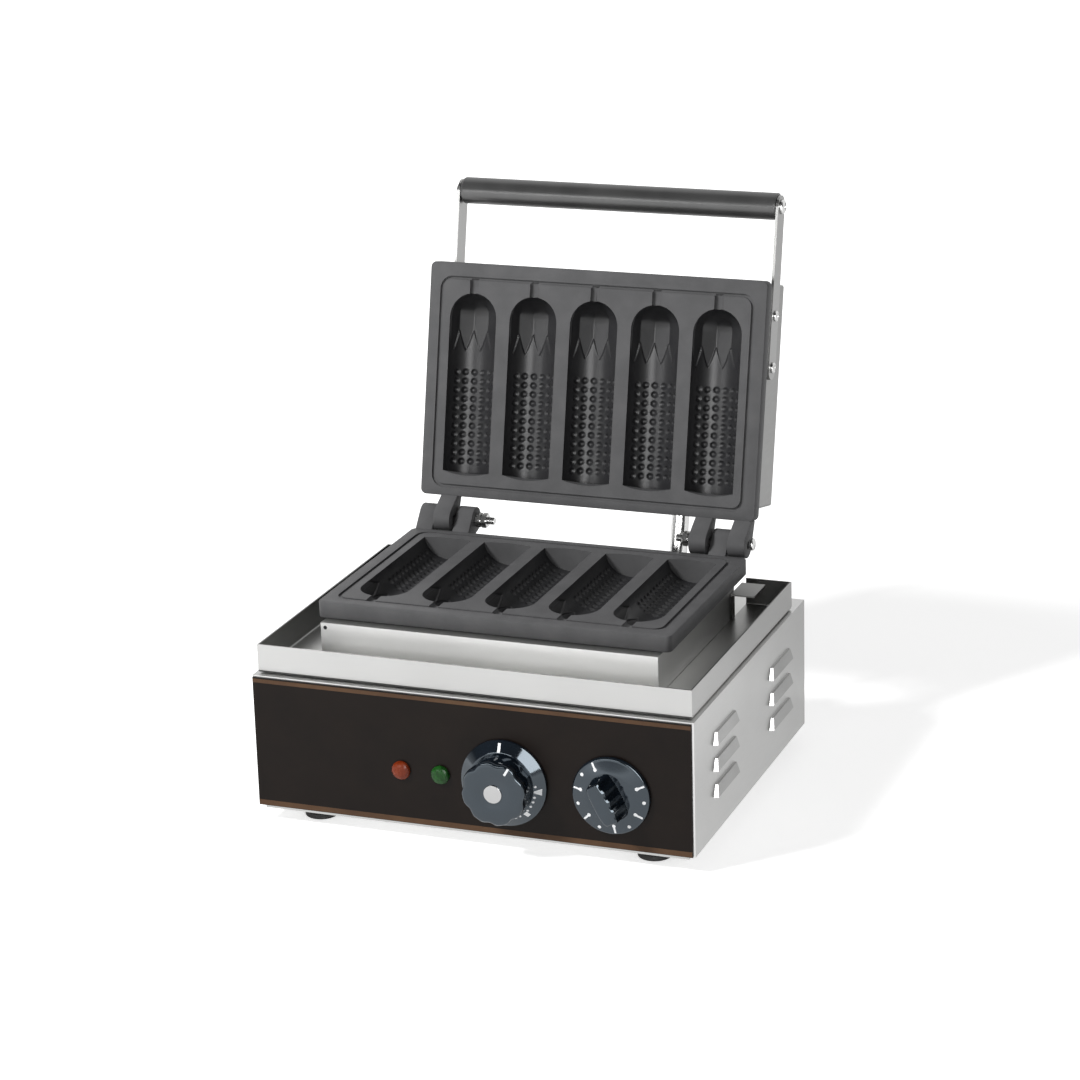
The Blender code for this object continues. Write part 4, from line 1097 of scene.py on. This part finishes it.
def foot_object(node):
    """A rubber foot: a round block, wider at the floor, with a groove and a screw recess."""
    middle = middle_of(node)
    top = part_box(node)[1].z
    profile = [(foot_bore_radius, top), (foot_top_radius - foot_top_edge, top),
               (foot_top_radius, top - foot_top_edge)]
    profile += [(foot_top_radius + beyond, height) for beyond, height in foot_side]
    profile += arc_points(foot_radius - foot_edge, foot_edge, foot_edge, 20, -90, 6)
    profile += [(foot_recess_radius + foot_recess_edge, 0.0),
                (foot_recess_radius, foot_recess_edge), (foot_recess_radius, foot_recess_depth),
                (foot_bore_radius, foot_recess_depth), (foot_bore_radius, top)]
    place = Matrix.Translation((middle.x, middle.y, 0.0))
    foot = turned_object(node + "_piece", profile, place, 64)
    finish_piece(foot, "foot_rubber", "base", node)


def handle_grip_object():
    """The handle's plastic tube with round ends."""
    low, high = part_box("handle_grip")
    length = high.x - low.x
    profile = [(0.0, 0.0), (grip_radius - grip_round, 0.0)]
    profile += arc_points(grip_radius - grip_round, grip_round, grip_round, -90, 0, 8)[1:]
    profile += arc_points(grip_radius - grip_end_round, length - grip_end_round, grip_end_round,
                          0, 90, 5)
    profile += [(0.0, length)]
    place = along_x(low.x, middle_of("handle_grip"), 1)
    grip = turned_object("handle_grip_piece", profile, place)
    finish_piece(grip, "grip_black", "lid", "handle_grip", 40.0)


def conduit_object():
    """The conduit from the deck into the lid, built as one smooth bend for the open lid."""
    deck_low, deck_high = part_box("conduit_collar_deck")
    deck_middle = (deck_low + deck_high) / 2
    lid_middle = middle_of("conduit_collar_lid")
    inward = Vector((0.0, -math.cos(lid_open_angle), math.sin(lid_open_angle)))
    start = Vector((deck_middle.x, deck_middle.y, deck_low.z))
    end = lid_middle + inward * conduit_tail
    points = [start, start + Vector((0.0, 0.0, conduit_reach)), end - inward * conduit_reach, end]
    side = Vector((1.0, 0.0, 0.0))
    bm = bmesh.new()
    rings = []
    for step in range(conduit_rings + 1):
        t = step / conduit_rings
        weights = ((1 - t) ** 3, 3 * t * (1 - t) ** 2, 3 * t**2 * (1 - t), t**3)
        slopes = (-((1 - t) ** 2), (1 - t) ** 2 - 2 * t * (1 - t), 2 * t * (1 - t) - t**2, t**2)
        centre = sum((p * w for p, w in zip(points, weights)), Vector())
        along = sum((p * w for p, w in zip(points, slopes)), Vector()).normalized()
        across = along.cross(side)
        rings.append([bm.verts.new(centre + conduit_radius * (math.cos(a) * side
                                                              + math.sin(a) * across))
                      for a in full_turn(conduit_sides)])
    tube = loft("conduit_piece", bm, rings)
    finish_piece(tube, "bright_steel", None, "wiring_conduit", 50.0)
    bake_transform(tube)


def soften_sheet_edges():
    """Round the edges of the folded sheet pieces a little."""
    for node in sheet_nodes:
        bevel = frame["nodes"][node].modifiers.new("eased_edge", "BEVEL")
        bevel.width = sheet_edge
        bevel.segments = 2
        bevel.limit_method = "ANGLE"
        bevel.angle_limit = math.radians(40)


# Panel, rivet and lamps

line_margin = 0.0003
line_rise = 0.00006
line_sink = 0.0002
low_line_width = 0.0040
high_line_width = 0.0030
high_line_drop = 0.0040
rivet_radius = 0.0017
rivet_height = 0.0006
rivet_sink = 0.0003
rivet_inset = 0.0036
lens_places = {"red": -0.0535, "green": -0.0227}
lens_radius = 0.0070
lens_rim = 0.0012
lens_rise = 0.0030
lens_seat = 0.0003


def panel_lines():
    """The two tan lines printed along the panel's upper and lower edges."""
    low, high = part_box("panel_overlay")
    for name, start, width in (
            ("panel_line_low", low.z + line_margin, low_line_width),
            ("panel_line_high", high.z - high_line_drop, high_line_width)):
        line = box_object(name, (low.x + line_margin, panel_face_y - line_rise, start),
                          (high.x - line_margin, panel_face_y + line_sink, start + width))
        finish_piece(line, "print_tan", "base")


def frame_rivet():
    """The small dark rivet at the frame's front left corner."""
    low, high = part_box("plate_frame")
    place = facing_front(low.x + rivet_inset, low.y + rivet_sink, high.z - rivet_inset)
    profile = dome(rivet_radius, 0.0, rivet_height, range(0, 91, 15))
    profile += [(rivet_radius, -rivet_sink), (0.0, -rivet_sink)]
    finish_piece(turned_object("frame_rivet", profile, place, 32), "case_black", "base")


def lamp_objects():
    for colour, x in lens_places.items():
        place = facing_front(x, panel_face_y - lens_seat, control_z)
        profile = dome(lens_radius, lens_rim, lens_rise, (0, *range(10, 91, 8)))
        profile += [(lens_radius, 0.0), (0.0, 0.0)]
        lens = turned_object(colour + "_lens_piece", profile, place, 64)
        finish_piece(lens, colour + "_lens", "base", colour + "_lamp_lens")


def build_pieces():
    offset = Matrix.Translation(hinge_point)
    lower = offset @ Matrix.Translation((0.0, 0.0, -hinge_rise))
    upper = (offset @ Matrix.Rotation(-lid_open_angle, 4, "X")
             @ Matrix.Translation((0.0, 0.0, -hinge_rise + plate_gap))
             @ Matrix.Diagonal((1.0, 1.0, -1.0, 1.0)))
    casting_object("lower_plate", "lower_casting", "base", lower, -1)
    casting_object("upper_plate", "upper_casting", "lid", upper, 1)
    thermostat_dial_object()
    thermostat_cap_object()
    thermostat_marks()
    timer_dial_object()
    timer_grip_object()
    panel_lines()
    frame_rivet()
    lamp_objects()
    for node in frame["nodes"]:
        if node.startswith("arm_screw"):
            screw_object(node, *arm_screw_size)
        if node.startswith("grip_screw"):
            screw_object(node, *grip_screw_size)
        if node.startswith("hinge_pin"):
            pin_object(node)
        if node.startswith("hinge_nut"):
            nut_object(node)
        if node.startswith("foot_") and not node.startswith("foot_screw"):
            foot_object(node)
    handle_grip_object()
    conduit_object()
    soften_sheet_edges()


# Stage

floor_half_width = 12.0
floor_dark = (0.86, 0.86, 0.86, 1.0)
floor_light = (0.90, 0.90, 0.90, 1.0)
# The floor's glow is weaker near the object and, in reflections, behind it: painted shade
glow_reach = (0.5, 1.6)
glow_near = 0.62
glow_fade_y = (-0.25, 0.45)
glow_back = 0.47
sky_height = (0.0, 0.16)
sky_top = 0.10
sky_behind_y = (-0.10, 0.30)
sky_fill = 0.33
look_at = Vector((0.0, 0.0, 0.15))

# Name, place, width and height, and power of each lamp
lamps = (
    ("key", (-1.444, -1.604, 2.234), (0.5, 0.5), 91.0),
    ("window", (1.16, -2.61, 1.08), (1.35, 1.60), 68.0),
    ("strip", (-1.099, -2.721, 0.774), (1.6, 0.5), 18.0),
)


def floor_glow(paint):
    """The floor's own light, seen by the camera and in reflections but not by matt surfaces."""
    reach = paint.add("VectorMath", "Value", {0: paint.place}, operation="LENGTH")
    # Weaker glow near the object: its real shadow shows there, and the floor near it is painted
    # darker in reflections.
    plain = paint.span(reach, *glow_reach, glow_near, 1.0)
    # Painted shade in reflections: the floor looks dimmer behind the object.
    fade = paint.span(paint.part("Y"), *glow_fade_y, 1.0, glow_back)
    return paint.math("MULTIPLY", paint.seen(fade), plain)


def add_floor():
    bm = bmesh.new()
    bmesh.ops.create_grid(bm, x_segments=2, y_segments=2, size=floor_half_width)
    floor = object_from(bm, "studio_floor")
    paint = Paint()
    cloud = paint.noise(3.0, 2.0)
    paint.set(Base_Color=paint.between(paint.ramp(cloud, 0.0, 1.0), floor_dark, floor_light),
              Roughness=paint.ramp(cloud, 0.85, 0.95), Specular_IOR_Level=0.0,
              Emission_Color=white, Emission_Strength=floor_glow(paint))
    floor.data.materials.append(paint.material)


def add_lamp(name, place, size, power):
    """One soft lamp. The key lights matt surfaces and the others show in reflections."""
    data = bpy.data.lights.new(name, "AREA")
    data.shape = "RECTANGLE"
    data.size, data.size_y = size
    data.energy = power
    lamp = new_object(name, data)
    lamp.matrix_world = aimed(place, look_at - Vector(place), "-Z")
    lamp.visible_camera = False
    lamp.visible_glossy = name != "key"
    lamp.visible_diffuse = name == "key"


def add_world():
    """White to the eye and in reflections near the horizon, dimmer overhead and as plain light."""
    world = bpy.data.worlds.new("studio")
    bpy.context.scene.world = world
    world.use_nodes = True
    graph = Graph(world.node_tree, "Generated")
    sky = graph.span(graph.part("Z"), *sky_height, 1.0, sky_top)
    behind = graph.span(graph.part("Y"), *sky_behind_y, 0.0, 1.0)
    fill = graph.math("MULTIPLY", graph.add("LightPath", "Is Diffuse Ray"), sky_fill)
    level = graph.math("MAXIMUM", graph.seen(graph.math("MAXIMUM", sky, behind)), fill)
    background = world.node_tree.nodes["Background"]
    graph.put(background, "Strength", level)
    graph.put(background, "Color", white)


def add_camera():
    data = bpy.data.cameras.new("photo_camera")
    data.lens = camera_lens_mm
    data.sensor_width = camera_sensor_mm
    data.clip_start = camera_near
    data.clip_end = camera_far
    camera = new_object("photo_camera", data)
    turn = (Matrix.Rotation(camera_azimuth, 4, "Z")
            @ Matrix.Rotation(math.pi / 2 - camera_elevation, 4, "X")
            @ Matrix.Rotation(camera_roll, 4, "Z"))
    camera.matrix_world = (Matrix.Translation(camera_target) @ turn
                           @ Matrix.Translation((0.0, 0.0, camera_distance)))
    bpy.context.scene.camera = camera


def add_stage():
    add_floor()
    add_world()
    for lamp in lamps:
        add_lamp(*lamp)
    bpy.context.scene.view_settings.view_transform = "Standard"
    add_camera()


repaint_cad()
build_pieces()
add_stage()
